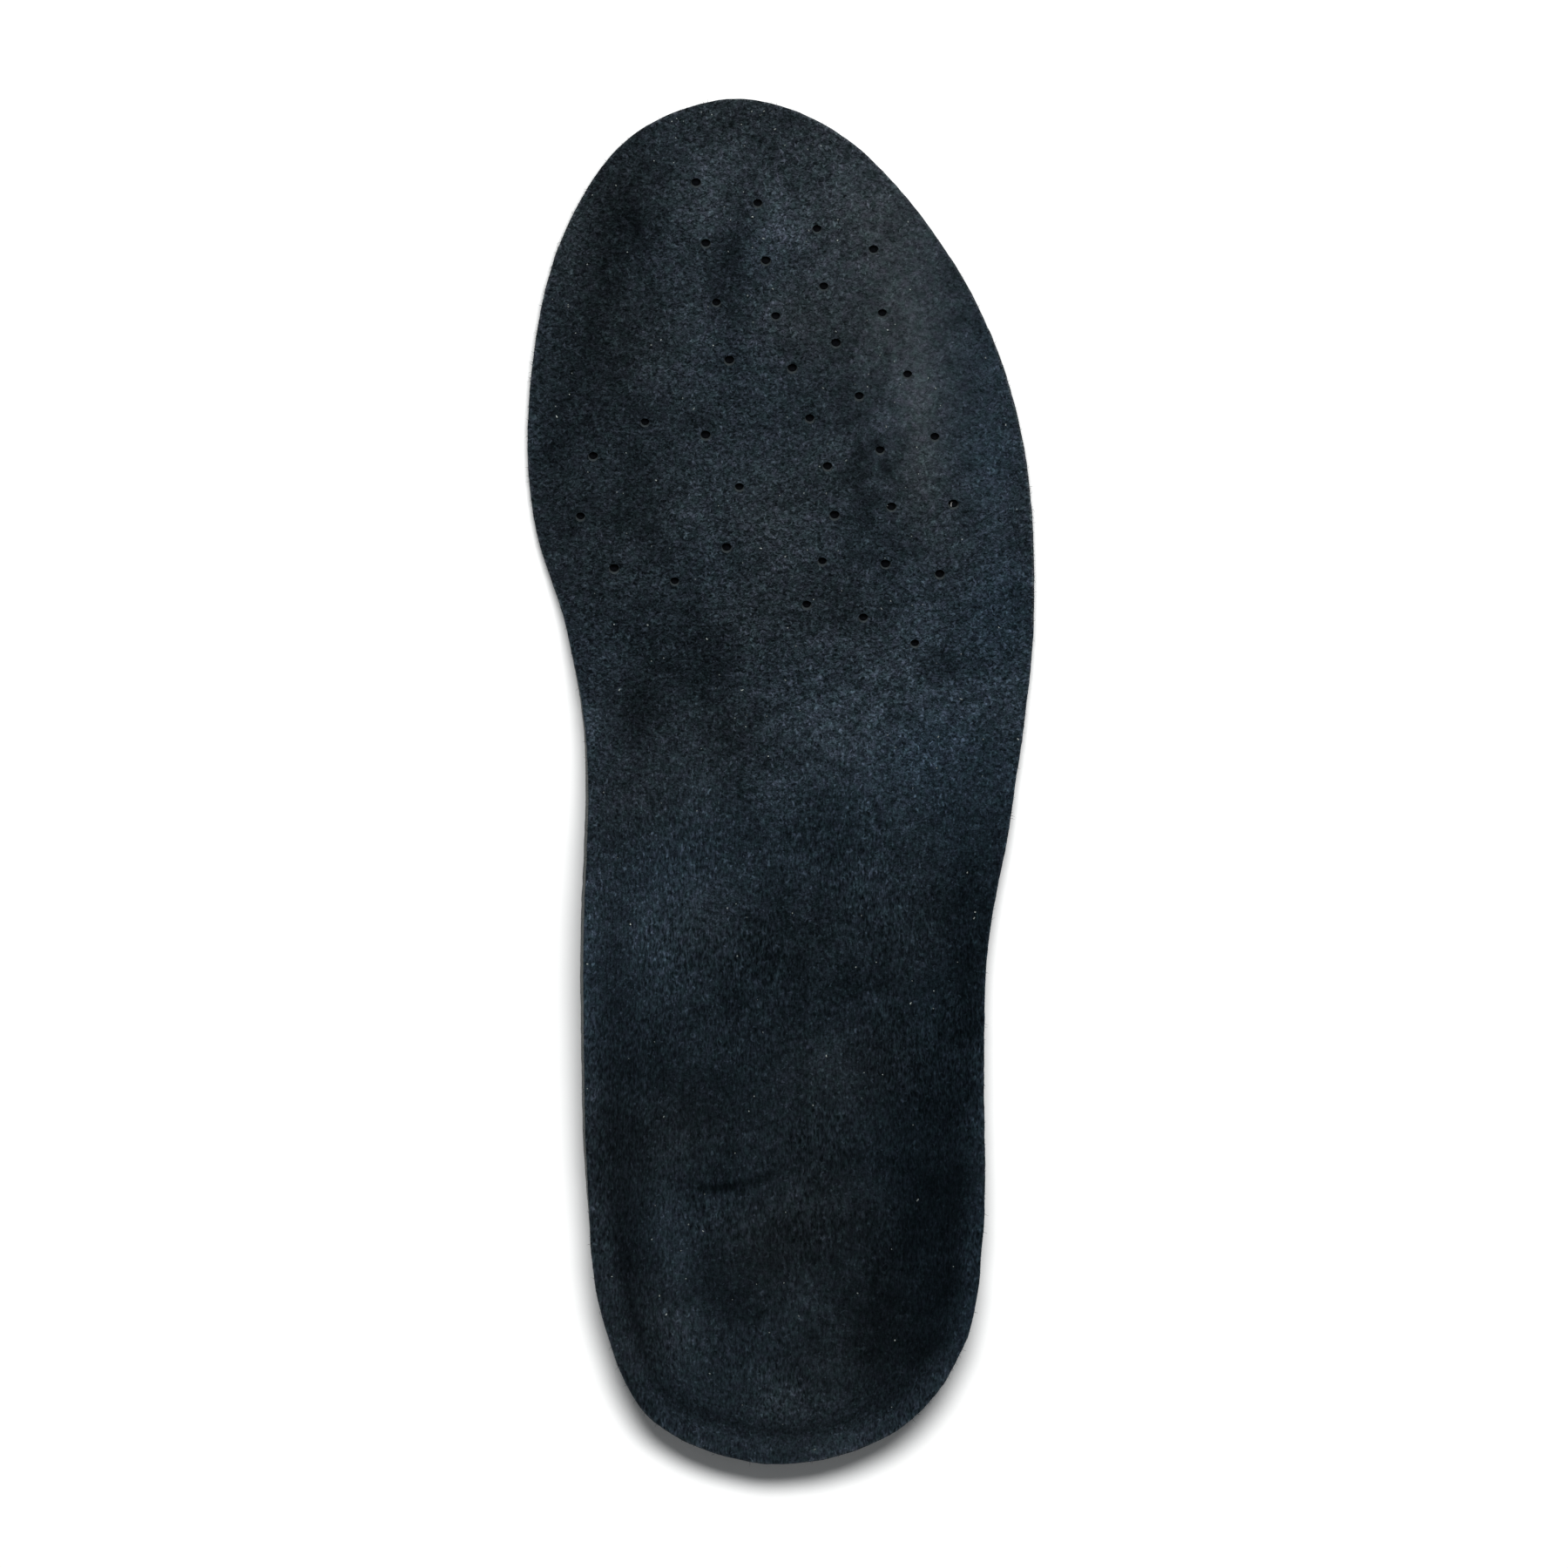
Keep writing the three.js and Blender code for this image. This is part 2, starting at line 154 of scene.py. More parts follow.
# How light the nap lies, with painted highlights and painted shade added in places. Tones are counted in
# thousandths of the floor's white.
NAP_FULL = 60
NAP_BLACK = 2
FIBRE_CONTRAST = 3.4
# The pale line along the cut edge is partly the edge's own paler colour and partly a painted highlight, at
# full strength along the outer side of the toes.
CUT_WIDTH = 0.45  # of the pale line along the cover's cut edge
CUT_EDGE_AND_HIGHLIGHT_TONE = 20
# A painted highlight along the top of the heel rim, stronger on the outer side.
RIM_PAINTED_HIGHLIGHT = 6
RIM_WIDTH = 2.6
RIM_SPAN = (-30, -70)
# Painted shade in the groove round the heel, and a painted highlight on the crest outside it.
GROOVE_PAINTED_SHADE_AND_HIGHLIGHT = 6
# Painted shade along the smile crease.
CREASE_PAINTED_SHADE = 9
CLOUDS = [(0.1, 15, 8), (0.16, 6.5, 9), (0.18, 3, 10)]  # (share, size, seed) of the tone's own unevenness
MOTTLES = [(1, 1.7, 13), (0.7, 3, 14)]  # the same, where the nap is crinkled
CRINKLE_CONTRAST = 0.2
NAP_ALONG = [(-130, 16), (-110, 14), (-60, 12), (-40, 12), (-15, 16), (5, 20), (35, 21), (60, 23), (125, 25)]
# Patches that lie lighter or darker: (x, y, half width, half length, tone). Most are the nap's own
# unevenness; some are painted light on the inner arch slope and painted shade on the outer heel slope.
NAP_AND_PAINTED_LIGHT_PATCHES = [
    (-4, 129, 14, 4, -6),
    (20, 104, 11, 20, 9),
    (25, 84, 8, 16, 14),
    (27, 67, 4.5, 14, 16),
    (41, 66, 8, 26, 5),
    (-31, 113, 6, 12, -12),
    (-37, 92, 6, 16, -10),
    (-34, 66, 15, 34, -8),
    (-15, 113, 5, 8, 9),
    (-10, 101, 4, 12, -11),
    (-25, 102, 7, 22, -7),
    (-44, 68, 4, 18, -7),
    (0, 109, 5, 5, 10),
    (-20, 92, 5, 16, 3),
    (-27, 57, 3, 10, -4),
    (-16, 53, 4, 12, 5),
    (12, 37, 5, 9, -8),
    (28, 38, 5, 10, 7),
    (18, 62, 7, 20, -4),
    (-22, 23, 14, 13, -8),
    (-36, 12, 3.5, 6, 10),
    (-28, 10, 4, 6, -8),
    (-11, 8, 5, 14, -8),
    (23, 14, 18, 12.5, 13),
    (41, 18, 7, 26, -2),
    (32, 22, 6, 4, -11),
    (13.4, 21.5, 4.5, 3, -7),
    (-14, -6, 6, 18, 3),
    (11, -10, 8, 7, -3),
    (-25, -24, 8, 9, 17),
    (-13, -27, 5, 5, 11),
    (-23, -39, 9, 8, 8),
    # Painted light on the inner arch slope.
    (-38, -38, 4, 30, 11),
    (38, -24, 7, 17, -6),
    (37, -50, 5, 22, -2),
    (-4, -34, 9, 6, -3),
    (3, -21, 8, 2.5, -3),
    (9, -57, 9, 8, 5),
    (-21, -87, 4, 12, 8),
    (-20, -106, 6, 9, 7),
    (-11, -98, 4, 7, -4),
    (-11, -88, 5, 5, 3),
    (6, -104, 5, 10, 3),
    (-2, -120, 9, 5, 4),
    # Painted shade on the outer heel slope.
    (29, -86, 10, 28, -7),
    (19, -110, 8, 16, -5),
    (-31, -84, 4, 24, -3),
    (7.8, -88.6, 1.7, 0.45, 14),
]
# Where the nap is crinkled, and where its strokes are more ruffled or less, in the same form.
CRINKLED_PATCHES = [(22, 18, 26, 24, 1), (-6, 4, 20, 16, 1), (18.5, 61, 6, 18, 2.6), (-24, 45, 12, 14, 1)]
RUFFLED_PATCHES = [(5, 0, 60, 45, 0.2), (27, 85, 17, 38, -0.45)]
# Where the dye reads bluer, or greyer, than round about: (x, y, half width, half length, share).
BLUE_PATCHES = [
    (42, 52, 9, 40, 0.5),
    (20, 12, 30, 22, 0.2),
    (18, 104, 12, 24, -0.4),
    (27, 67, 4, 14, -0.3),
    (33, -85, 11, 34, 0.6),
    (38, -28, 6, 24, 0.4),
    (-20, 2, 16, 12, -0.3),
    (9, -57, 10, 9, -0.3),
    (-4, -98, 26, 24, -0.15),
]
# How blue the dye is and how ruffled the strokes are at the toes, and the changes from there to the heel:
# (share added, from y, to y). Between the two values of COMBED_SPAN, tousled strokes give way to combed ones.
BLUE_AT_TOES = 0.42
BLUE_CHANGES = [(0.38, 35, -10), (-0.15, -50, -70)]
RUFFLED_AT_TOES = 0.8
RUFFLED_CHANGES = [(-0.15, -40, -70)]
COMBED_SPAN = (25, -35)
# The largest pale specks of lint. Smaller ones are scattered at random.
LINT_SEEN = [(-16.9, 72.2), (20.4, 68.8), (26.5, -81.3), (6.5, -129.4), (-31.3, 17.6), (46, 8), (8.8, 55.8)]
LINT_COUNT = 210
LINT_BOX = (50, 130)  # half of the width and length that it is scattered over
LINT_SEEN_LENGTH = 0.55
LINT_RADIUS = 0.16
FIBRE_RADIUS = 0.055
FIBRE_STEPS = 4
# Stretches of the edge where fibres stick out: (y from, y to, inner side, fibres per mm).
FUZZY = [
    (-132, 132, True, 0.8),
    (-132, 132, False, 0.6),
    (66, 116, True, 1.5),
    (-18, 6, True, 1.8),
    (36, 58, False, 1.5),
]

# ---- Floor, light and camera, in metres ----

FLOOR_HALF = 3
FLOOR_DROP = 0.0002
FLOOR_WHITE = (0.95, 0.955, 0.95, 1)
SKY_COLOUR = (0.95, 0.98, 1, 1)
SKY_STRENGTH = 0.175
LAMP = {"at": (0.04, 0.22, 1.1), "size": (0.45, 0.27), "power": 13.8}
VIEW_HEIGHT = 0.305
CAMERA_AT = (0.0006, -0.0007, 3.0)
SENSOR = 36


# ---- Curves and the outline ----


def catmull_rom(points, closed):
    """Points along a centripetal Catmull-Rom curve."""
    p = np.array(points, float)
    p = np.vstack([p[-1:], p, p[:2]] if closed else [2 * p[:1] - p[1:2], p, 2 * p[-1:] - p[-2:-1]])
    t = np.linspace(0, 1, CURVE_STEPS, endpoint=False)[:, None]
    stretches = []
    for p0, p1, p2, p3 in zip(p, p[1:], p[2:], p[3:]):
        d0, d1, d2 = (math.sqrt(math.dist(a, b)) for a, b in ((p0, p1), (p1, p2), (p2, p3)))
        m1 = ((p1 - p0) / d0 - (p2 - p0) / (d0 + d1) + (p2 - p1) / d1) * d1
        m2 = ((p2 - p1) / d1 - (p3 - p1) / (d1 + d2) + (p3 - p2) / d2) * d1
        stretches.append(p1 + t * (m1 + t * (3 * (p2 - p1) - 2 * m1 - m2 + t * (2 * (p1 - p2) + m1 + m2))))
    return np.vstack([*stretches, p[-2:-1]])


def at_shares(line, shares):
    """The points at these shares of a line's length."""
    run = np.concatenate([[0], np.cumsum(np.linalg.norm(np.diff(line, axis=0), axis=1))])
    return np.column_stack([np.interp(shares * run[-1], run, line[:, k]) for k in (0, 1)])


def evenly(line, count):
    """`count` points spaced evenly along a line, both ends included."""
    return at_shares(line, np.linspace(0, 1, count))


def cut_edge():
    """The outline, scaled to the insole's length and centred."""
    edge = evenly(catmull_rom(OUTLINE, closed=True), EDGE_POINTS)[:-1]
    low, high = edge.min(axis=0), edge.max(axis=0)
    return (edge - (low + high) / 2) * LENGTH / (high - low)[1]


EDGE = cut_edge()


def side_of_edge(inner):
    """The y and x of the edge on one side, in rising y."""
    side = EDGE[(EDGE[:, 0] < 0) == inner]
    side = side[np.argsort(side[:, 1])]
    return side[:, 1], side[:, 0]


def edge_round(centre):
    """The edge's angle and distance from a centre, in rising angle."""
    offset = EDGE - centre
    angle = np.arctan2(offset[:, 1], offset[:, 0])
    order = np.argsort(angle)
    return angle[order], np.hypot(*offset.T)[order]


INNER_SIDE = side_of_edge(True)
OUTER_SIDE = side_of_edge(False)
ROUND_TOE = edge_round(SPINE_TOE)
ROUND_HEEL = edge_round(SPINE_HEEL)


def edge_from_end(centre, table, angle):
    """Where the edge is, at an angle from one end of the middle line."""
    radius = np.interp(angle, *table, period=2 * math.pi)
    return centre[0] + radius * np.cos(angle), centre[1] + radius * np.sin(angle)


def spine(y):
    """The place on the middle line that rays at this y start from."""
    share = np.clip((y - SPINE_HEEL[1]) / (SPINE_TOE[1] - SPINE_HEEL[1]), 0, 1)
    return tuple(SPINE_HEEL[k] + share * (SPINE_TOE[k] - SPINE_HEEL[k]) for k in (0, 1))


def to_edge(x, y):
    """Where the edge is straight out from the middle line: its y, its side, and how far away it is."""
    from_x, from_y = spine(y)
    inner = x < from_x
    edge_x = np.where(inner, np.interp(y, *INNER_SIDE), np.interp(y, *OUTER_SIDE))
    edge_y = np.array(y, float)
    angle = np.arctan2(y - from_y, x - from_x)
    ends = (SPINE_TOE, ROUND_TOE, y > SPINE_TOE[1]), (SPINE_HEEL, ROUND_HEEL, y < SPINE_HEEL[1])
    for centre, table, past in ends:
        end_x, end_y = edge_from_end(centre, table, angle)
        edge_x = np.where(past, end_x, edge_x)
        edge_y = np.where(past, end_y, edge_y)
    distance = np.hypot(edge_x - from_x, edge_y - from_y) - np.hypot(x - from_x, y - from_y)
    return edge_y, inner, distance


# ---- Heights ----


def along(keys, y):
    """The value at y of a smooth curve through (y, value) pairs, level beyond its ends."""
    at, value = np.array(keys, float).T
    slope = np.zeros(len(at))
    slope[1:-1] = (value[2:] - value[:-2]) / (at[2:] - at[:-2])
    y = np.clip(y, at[0], at[-1])
    i = np.clip(np.searchsorted(at, y, side="right") - 1, 0, len(at) - 2)
    span, rise = (at[i + 1] - at[i]), (value[i + 1] - value[i])
    t, a, b = (y - at[i]) / span, slope[i] * span, slope[i + 1] * span
    return value[i] + t * (a + t * (3 * rise - 2 * a - b + t * (a + b - 2 * rise)))


def by_side(inner, inner_keys, outer_keys, y):
    """The value at y of the inner or the outer side's curve."""
    return np.where(inner, along(inner_keys, y), along(outer_keys, y))


def slope_height(place, distance, y):
    """The footbed's height without the dome: a level seat that slopes up to the rim."""
    edge_y, inner, _ = place
    rim = by_side(inner, INNER_RIM, OUTER_RIM, edge_y)
    width = by_side(inner, INNER_SLOPE, OUTER_SLOPE, edge_y)
    inside = distance - along(RIM_BAND, edge_y)
    past = (inside + np.hypot(inside, RIM_ROUNDING)) / 2
    share = np.maximum(0, 1 - past / width) ** SLOPE_POWER
    seat = along(SEAT, y)
    return seat + (rim - seat) * share


def dome_height(x, y):
    """What the dome behind the ball adds."""
    reach = np.hypot((x - DOME["at"][0]) / DOME["half"][0], (y - DOME["at"][1]) / DOME["half"][1])
    return DOME["height"] * np.maximum(0, 1 - reach**2) ** 2


def below(depth):
    """The surface `depth` below the footbed."""

    def height(x, y):
        place = to_edge(x, y)
        distance = place[2]
        fall = slope_height(place, distance + SLOPE_STEP, y) - slope_height(place, distance - SLOPE_STEP, y)
        down = depth * np.hypot(1, fall / (2 * SLOPE_STEP))
        return slope_height(place, distance, y) - down + dome_height(x, y)

    return height


def base_top(x, y):
    """The bases' upper face, which the dome pad lies on."""
    return below(BASE_DEPTH)(x, y) - dome_height(x, y)


def wall_lean(edge_y, inner):
    """How far in from the rim the side wall reaches the floor."""
    return by_side(inner, INNER_LEAN, OUTER_LEAN, edge_y)


def underside(x, y):
    """The bases' lower face, which curves up from the floor to the rim."""
    place = to_edge(x, y)
    edge_y, inner, distance = place
    lean = wall_lean(edge_y, inner)
    rim = slope_height(place, 0, edge_y) - BASE_DEPTH
    inside = np.clip(1 - distance / lean, 0, 1)
    return WALL_SHARE * rim * (1 - np.sqrt(1 - inside**2))


def above_underside(thickness):
    """The surface `thickness` above the underside."""

    def height(x, y):
        fall = underside(x + SLOPE_STEP, y) - underside(x - SLOPE_STEP, y)
        return underside(x, y) + thickness * np.hypot(1, fall / (2 * SLOPE_STEP))

    return height


def level(z):
    """The level surface at height z."""
    return lambda x, y: 0 * x + z


def fade(y, start, end):
    """From 0 at `start` to 1 at `end`, and level beyond both."""
    return np.clip((y - start) / (end - start), 0, 1)


# ---- Seeded noise ----


def noise(x, y, size, seed):
    """Smooth noise from -1 to 1 over patches about `size` across."""
    table = np.random.default_rng(SEED + seed).uniform(-1, 1, (256, 256))
    u, v = (0.8 * x + 0.6 * y) / size + 1000, (0.8 * y - 0.6 * x) / size + 1000
    i, j = np.floor(u).astype(int), np.floor(v).astype(int)
    s, t = u - i, v - j
    s, t = s * s * (3 - 2 * s), t * t * (3 - 2 * t)
    left, right, low, high = i % 256, (i + 1) % 256, j % 256, (j + 1) % 256
    below_it = table[left, low] * (1 - s) + table[right, low] * s
    above_it = table[left, high] * (1 - s) + table[right, high] * s
    return below_it * (1 - t) + above_it * t


def noises(x, y, layers):
    """The sum of noise layers, each (height, size, seed)."""
    return sum(height * noise(x, y, size, seed) for height, size, seed in layers)


def bump_at(x, y, at, half):
    """A round-topped bump from 1 at its middle, level with nothing a few halves away."""
    return np.exp(-(((x - at[0]) / half[0]) ** 2) - ((y - at[1]) / half[1]) ** 2)


# ---- Rays, rings and closed meshes ----


def insole_rays(step):
    """Where rays start on the middle line and end on the trimmed edge, about `step` apart there."""
    fan = round(math.pi * HEEL_RADIUS / step)
    stations = round((SPINE_TOE[1] - SPINE_HEEL[1]) / step)
    turn = np.linspace(0, math.pi, fan + 1)
    y = np.linspace(SPINE_TOE[1], SPINE_HEEL[1], stations + 1)[1:-1]
    toe = np.column_stack(edge_from_end(SPINE_TOE, ROUND_TOE, turn))
    heel = np.column_stack(edge_from_end(SPINE_HEEL, ROUND_HEEL, turn + math.pi))
    inner = np.column_stack([np.interp(y, *INNER_SIDE), y])
    outer = np.column_stack([np.interp(y, *OUTER_SIDE), y])[::-1]
    middle = np.column_stack(spine(y))
    at_toe, at_heel = (np.tile(end, (fan + 1, 1)) for end in (SPINE_TOE, SPINE_HEEL))
    starts = np.vstack([at_toe, middle, at_heel, middle[::-1]])
    ends = np.vstack([toe, inner, heel, outer])
    return starts, trim(starts, ends)


def trim(starts, ends):
    """The edge as scissors leave it: short straight snips round the heel, and a slightly ragged line."""
    gap = np.linalg.norm(np.roll(ends, -1, axis=0) - ends, axis=1)
    run = np.concatenate([[0], np.cumsum(gap)[:-1]])
    snips = np.cumsum(np.random.default_rng(SEED).uniform(*SNIP_LENGTH, SNIP_COUNT))
    last = np.searchsorted(snips, run, side="right")
    begin = np.concatenate([[0], snips])[last]
    cut_off = (run - begin) * (snips[last] - run) / (2 * HEEL_RADIUS)
    share = SNIP_SHARE * fade(ends[:, 1], -70, -90)
    ragged = sum(depth * (1 + noise(run, 0 * run, size, seed)) for depth, size, seed in RAGGED)
    inwards = starts - ends
    inwards /= np.linalg.norm(inwards, axis=1, keepdims=True)
    return ends + inwards * (cut_off * share + ragged)[:, None]


def oval_rays(pad, grow=0.0, sides=OVAL_SIDES):
    """Rays from a pad's middle to its oval edge, which `grow` makes wider all round."""
    angle = np.linspace(0, 2 * math.pi, sides, endpoint=False)
    u, v = ((half + grow) * f for half, f in zip(pad["half"], (np.cos(angle), np.sin(angle))))
    c, s = math.cos(pad["turn"]), math.sin(pad["turn"])
    ends = np.column_stack([c * u - s * v, s * u + c * v]) + pad["at"]
    return np.tile(pad["at"], (sides, 1)).astype(float), ends


def shell_rays(grow=0.0, sides=2 * OVAL_SIDES):
    """Rays from the arch plate's middle to its edge, which keeps its distances from the insole's sides."""
    angle = np.linspace(0, 2 * math.pi, 8 * sides)
    u, v = (np.sign(f) * np.abs(f) ** (2 / SHELL_SQUARENESS) for f in (np.cos(angle), np.sin(angle)))
    y = SHELL["y"] + v * (SHELL["half_length"] + grow)
    inner = np.interp(y, *INNER_SIDE) + SHELL["inner_inset"] - grow
    outer = np.interp(y, *OUTER_SIDE) - SHELL["outer_inset"] + grow
    ends = evenly(np.column_stack([(inner + outer) / 2 + u * (outer - inner) / 2, y]), sides + 1)[:-1]
    return np.tile(ends.mean(axis=0), (sides, 1)), ends


def ring_points(rays, insets, height, rounding=0.0):
    """Rings of points at distances in from the rays' ends; `rounding` draws the outer ones down or up."""
    starts, ends = rays
    length = np.linalg.norm(starts - ends, axis=1)
    rings = []
    for inset in insets:
        inset = np.minimum(inset * np.ones(len(length)), length)
        xy = ends + (starts - ends) * (inset / length)[:, None]
        drop = 0
        if rounding:
            outside = np.clip(1 - (inset - insets[0]) / abs(rounding), 0, 1)
            drop = rounding * (1 - np.sqrt(1 - outside**2))
        rings.append(np.column_stack([xy, height(*xy.T) - drop]))
    return rings


def closed_mesh(name, upper, lower, material=None, roof_material=None):
    """One closed mesh between two sets of rings, each running from its outer ring to the middle.

    The upper surface can have a material of its own.
    """
    count = len(upper[0])
    rings = [*upper[::-1], *lower]
    points = np.vstack(rings) * MM
    i = np.arange(count)
    k = (i + 1) % count
    faces = [
        np.column_stack([r * count + i, (r + 1) * count + i, (r + 1) * count + k, r * count + k])
        for r in range(len(rings) - 1)
    ]
    mesh = bpy.data.meshes.new(name)
    mesh.from_pydata(points.tolist(), [], np.vstack(faces).tolist())
    for each in (material, roof_material):
        if each:
            mesh.materials.append(each)
    if roof_material:
        roof = np.arange(len(mesh.polygons)) < (len(upper) - 1) * count
        mesh.polygons.foreach_set("material_index", roof.astype(np.int32))
    made = bmesh.new()
    made.from_mesh(mesh)
    bmesh.ops.remove_doubles(made, verts=made.verts, dist=1e-7)
    bmesh.ops.recalc_face_normals(made, faces=made.faces)
    made.to_mesh(mesh)
    made.free()
    mesh.shade_smooth()
    piece = bpy.data.objects.new(name, mesh)
    bpy.context.scene.collection.objects.link(piece)
    return piece


def spaced_insets(step, reach=RING_REACH):
    """Insets `step` apart as far in as `reach`, and then one to the middle."""
    return [*EDGE_INSETS, *np.arange(EDGE_INSETS[-1] + step, reach, step), TO_MIDDLE]


def scaled_insets(rays, count):
    """Insets that share each ray out evenly, so that the rings shrink to the middle in one shape."""
    left = np.linalg.norm(rays[0] - rays[1], axis=1) - EDGE_INSETS[-1]
    return [*EDGE_INSETS, *(EDGE_INSETS[-1] + left * ring / count for ring in range(1, count + 1))]


def apply_cut(piece, cutter):
    """Cuts the cutter out of the piece and removes the cutter."""
    cut = piece.modifiers.new("cut", "BOOLEAN")
    cut.operation = "DIFFERENCE"
    cut.solver = "EXACT"
    cut.material_mode = "TRANSFER"
    cut.object = cutter
    apply_modifiers(piece)
    bpy.data.objects.remove(cutter)


def apply_modifiers(piece):
    """Makes the piece's modifiers part of its mesh."""
    evaluated = piece.evaluated_get(bpy.context.evaluated_depsgraph_get())
    mesh = bpy.data.meshes.new_from_object(evaluated)
    piece.modifiers.clear()
    piece.data = mesh
    mesh.set_sharp_from_angle(angle=SHARP_ANGLE)


def keep_side_of_flex(piece, toe_side):
    """Cuts a piece off square at the flex line and closes it there."""
    normal = (-math.sin(FLEX_ANGLE), math.cos(FLEX_ANGLE), 0)
    made = bmesh.new()
    made.from_mesh(piece.data)
    geometry = [*made.verts, *made.edges, *made.faces]
    cut = bmesh.ops.bisect_plane(
        made,
        geom=geometry,
        plane_co=(0, FLEX_Y * MM, 0),
        plane_no=normal,
        clear_inner=toe_side,
        clear_outer=not toe_side,
    )
    bmesh.ops.holes_fill(made, edges=[e for e in cut["geom_cut"] if isinstance(e, bmesh.types.BMEdge)])
    made.to_mesh(piece.data)
    made.free()


# ---- The cover ----


def line_of_holes(count, spread, through):
    """Places along a curve; `spread` is how much wider than the average the first gaps are."""
    share = np.linspace(0, 1, count)
    return at_shares(catmull_rom(through, closed=False), share + spread * share * (1 - share))


def hole_positions():
    """The perforations' places: the curved lines, and then the ring."""
    angle = HOLE_RING["first"] + 2 * math.pi * np.arange(HOLE_RING["count"]) / HOLE_RING["count"]
    ring = np.column_stack([np.cos(angle), np.sin(angle)]) * HOLE_RING["radius"] + HOLE_RING["at"]
    return np.vstack([*(line_of_holes(*each) for each in HOLE_LINES), ring])


HOLES = hole_positions()


def heel_groove(edge_y, inner, distance):
    """From 0 to 1 in the groove that runs round the heel just inside the rim."""
    outer = np.maximum(fade(edge_y, *GROOVE["outer_span"]), GROOVE_LEAST)
    strength = fade(edge_y, *GROOVE["span"]) * np.where(inner, 1, outer)
    return strength * np.exp(-(((distance - GROOVE["inset"]) / GROOVE["half"]) ** 2))


def patches_at(x, y, patches):
    """The sum of patches, each (x, y, half width, half length, amount)."""
    return sum(add * bump_at(x, y, (px, py), (wide, long)) for px, py, wide, long, add in patches)


def from_toes(value, changes, y):
    """What a value at the toes has become at y, after changes, each (amount added, from y, to y)."""
    for added, first, last in changes:
        value = value + added * fade(y, first, last)
    return value


def smile_crease(x, y):
    """From 0 to 1 along a short curved crease across the front of the heel."""
    lowered = y - CREASE["curve"] * (x - CREASE["curve_x"]) ** 2
    return bump_at(x, lowered, CREASE["at"], CREASE["half"])


def cover_detail(x, y):
    """What the cover's upper face adds to the plain footbed: nap, crinkles, dimples, bead and creases."""
    edge_y, inner, distance = to_edge(x, y)
    wrinkles = noise(x, 1.6 * y, 3.4, 5) + 0.7 * noise(x, 1.3 * y, 1.9, 6)
    raised = noises(x, y, NAP_RELIEF) + CRINKLE_HEIGHT * patches_at(x, y, CRINKLED_PATCHES) * wrinkles
    across_bead = np.exp(-(((distance - BEAD["inset"]) / BEAD["half"]) ** 2))
    raised = raised + BEAD["height"] * fade(edge_y, *BEAD["span"]) * across_bead
    pressed = sum(DIMPLE["depth"] * bump_at(x, y, hole, DIMPLE["half"]) for hole in HOLES)
    uneven = 0.8 + 0.2 * noise(x, y, 9, 7)
    pressed = pressed + GROOVE["depth"] * heel_groove(edge_y, inner, distance) * uneven
    return raised - pressed - CREASE["depth"] * smile_crease(x, y)


def cover_upper(x, y):
    """The cover's upper face."""
    return below(0)(x, y) + cover_detail(x, y)


def setback(rays):
    """How far the cover's cut edge stands in from each ray's end."""
    starts, ends = rays
    inner = ends[:, 0] < starts[:, 0]
    return np.where(inner, along(INNER_SETBACK, ends[:, 1]), 0)


def punches(top_radius, bottom_radius, depth, material):
    """All the punches for the perforations as one mesh, centred on the footbed."""
    random = np.random.default_rng(SEED + 20)
    made = bmesh.new()
    for x, y in HOLES:
        size = random.uniform(*PUNCH_SIZES) * MM
        place = Matrix.Translation(np.array([x, y, float(below(0)(x, y))]) * MM)
        bmesh.ops.create_cone(
            made,
            cap_ends=True,
            segments=PUNCH_SIDES,
            radius1=bottom_radius * size,
            radius2=top_radius * size,
            depth=depth * MM,
            matrix=place @ Matrix.Rotation(PUNCH_LEAN, 4, "X") @ Matrix.Diagonal((PUNCH_OVAL, 1, 1, 1)),
        )
    mesh = bpy.data.meshes.new("punches")
    made.to_mesh(mesh)
    made.free()
    mesh.materials.append(material)
    cutter = bpy.data.objects.new("punches", mesh)
    bpy.context.scene.collection.objects.link(cutter)
    return cutter


def build_cover(suede, cut_fibres):
    rays = insole_rays(COVER_STEP)
    back = setback(rays)
    upper = ring_points(rays, [back + inset for inset in spaced_insets(0.55)], cover_upper, rounding=0.25)
    lower = ring_points(rays, [back + inset for inset in spaced_insets(5)], below(COVER), rounding=-0.1)
    cover = closed_mesh("suede_cover", upper, lower, suede)
    top_radius, bottom_radius = HOLE_RADIUS * (1 + PUNCH_TAPER), HOLE_RADIUS * (1 - PUNCH_TAPER)
    apply_cut(cover, punches(top_radius, bottom_radius, 3 * COVER, cut_fibres))
    store_nap_and_painted_light(cover)
    return cover


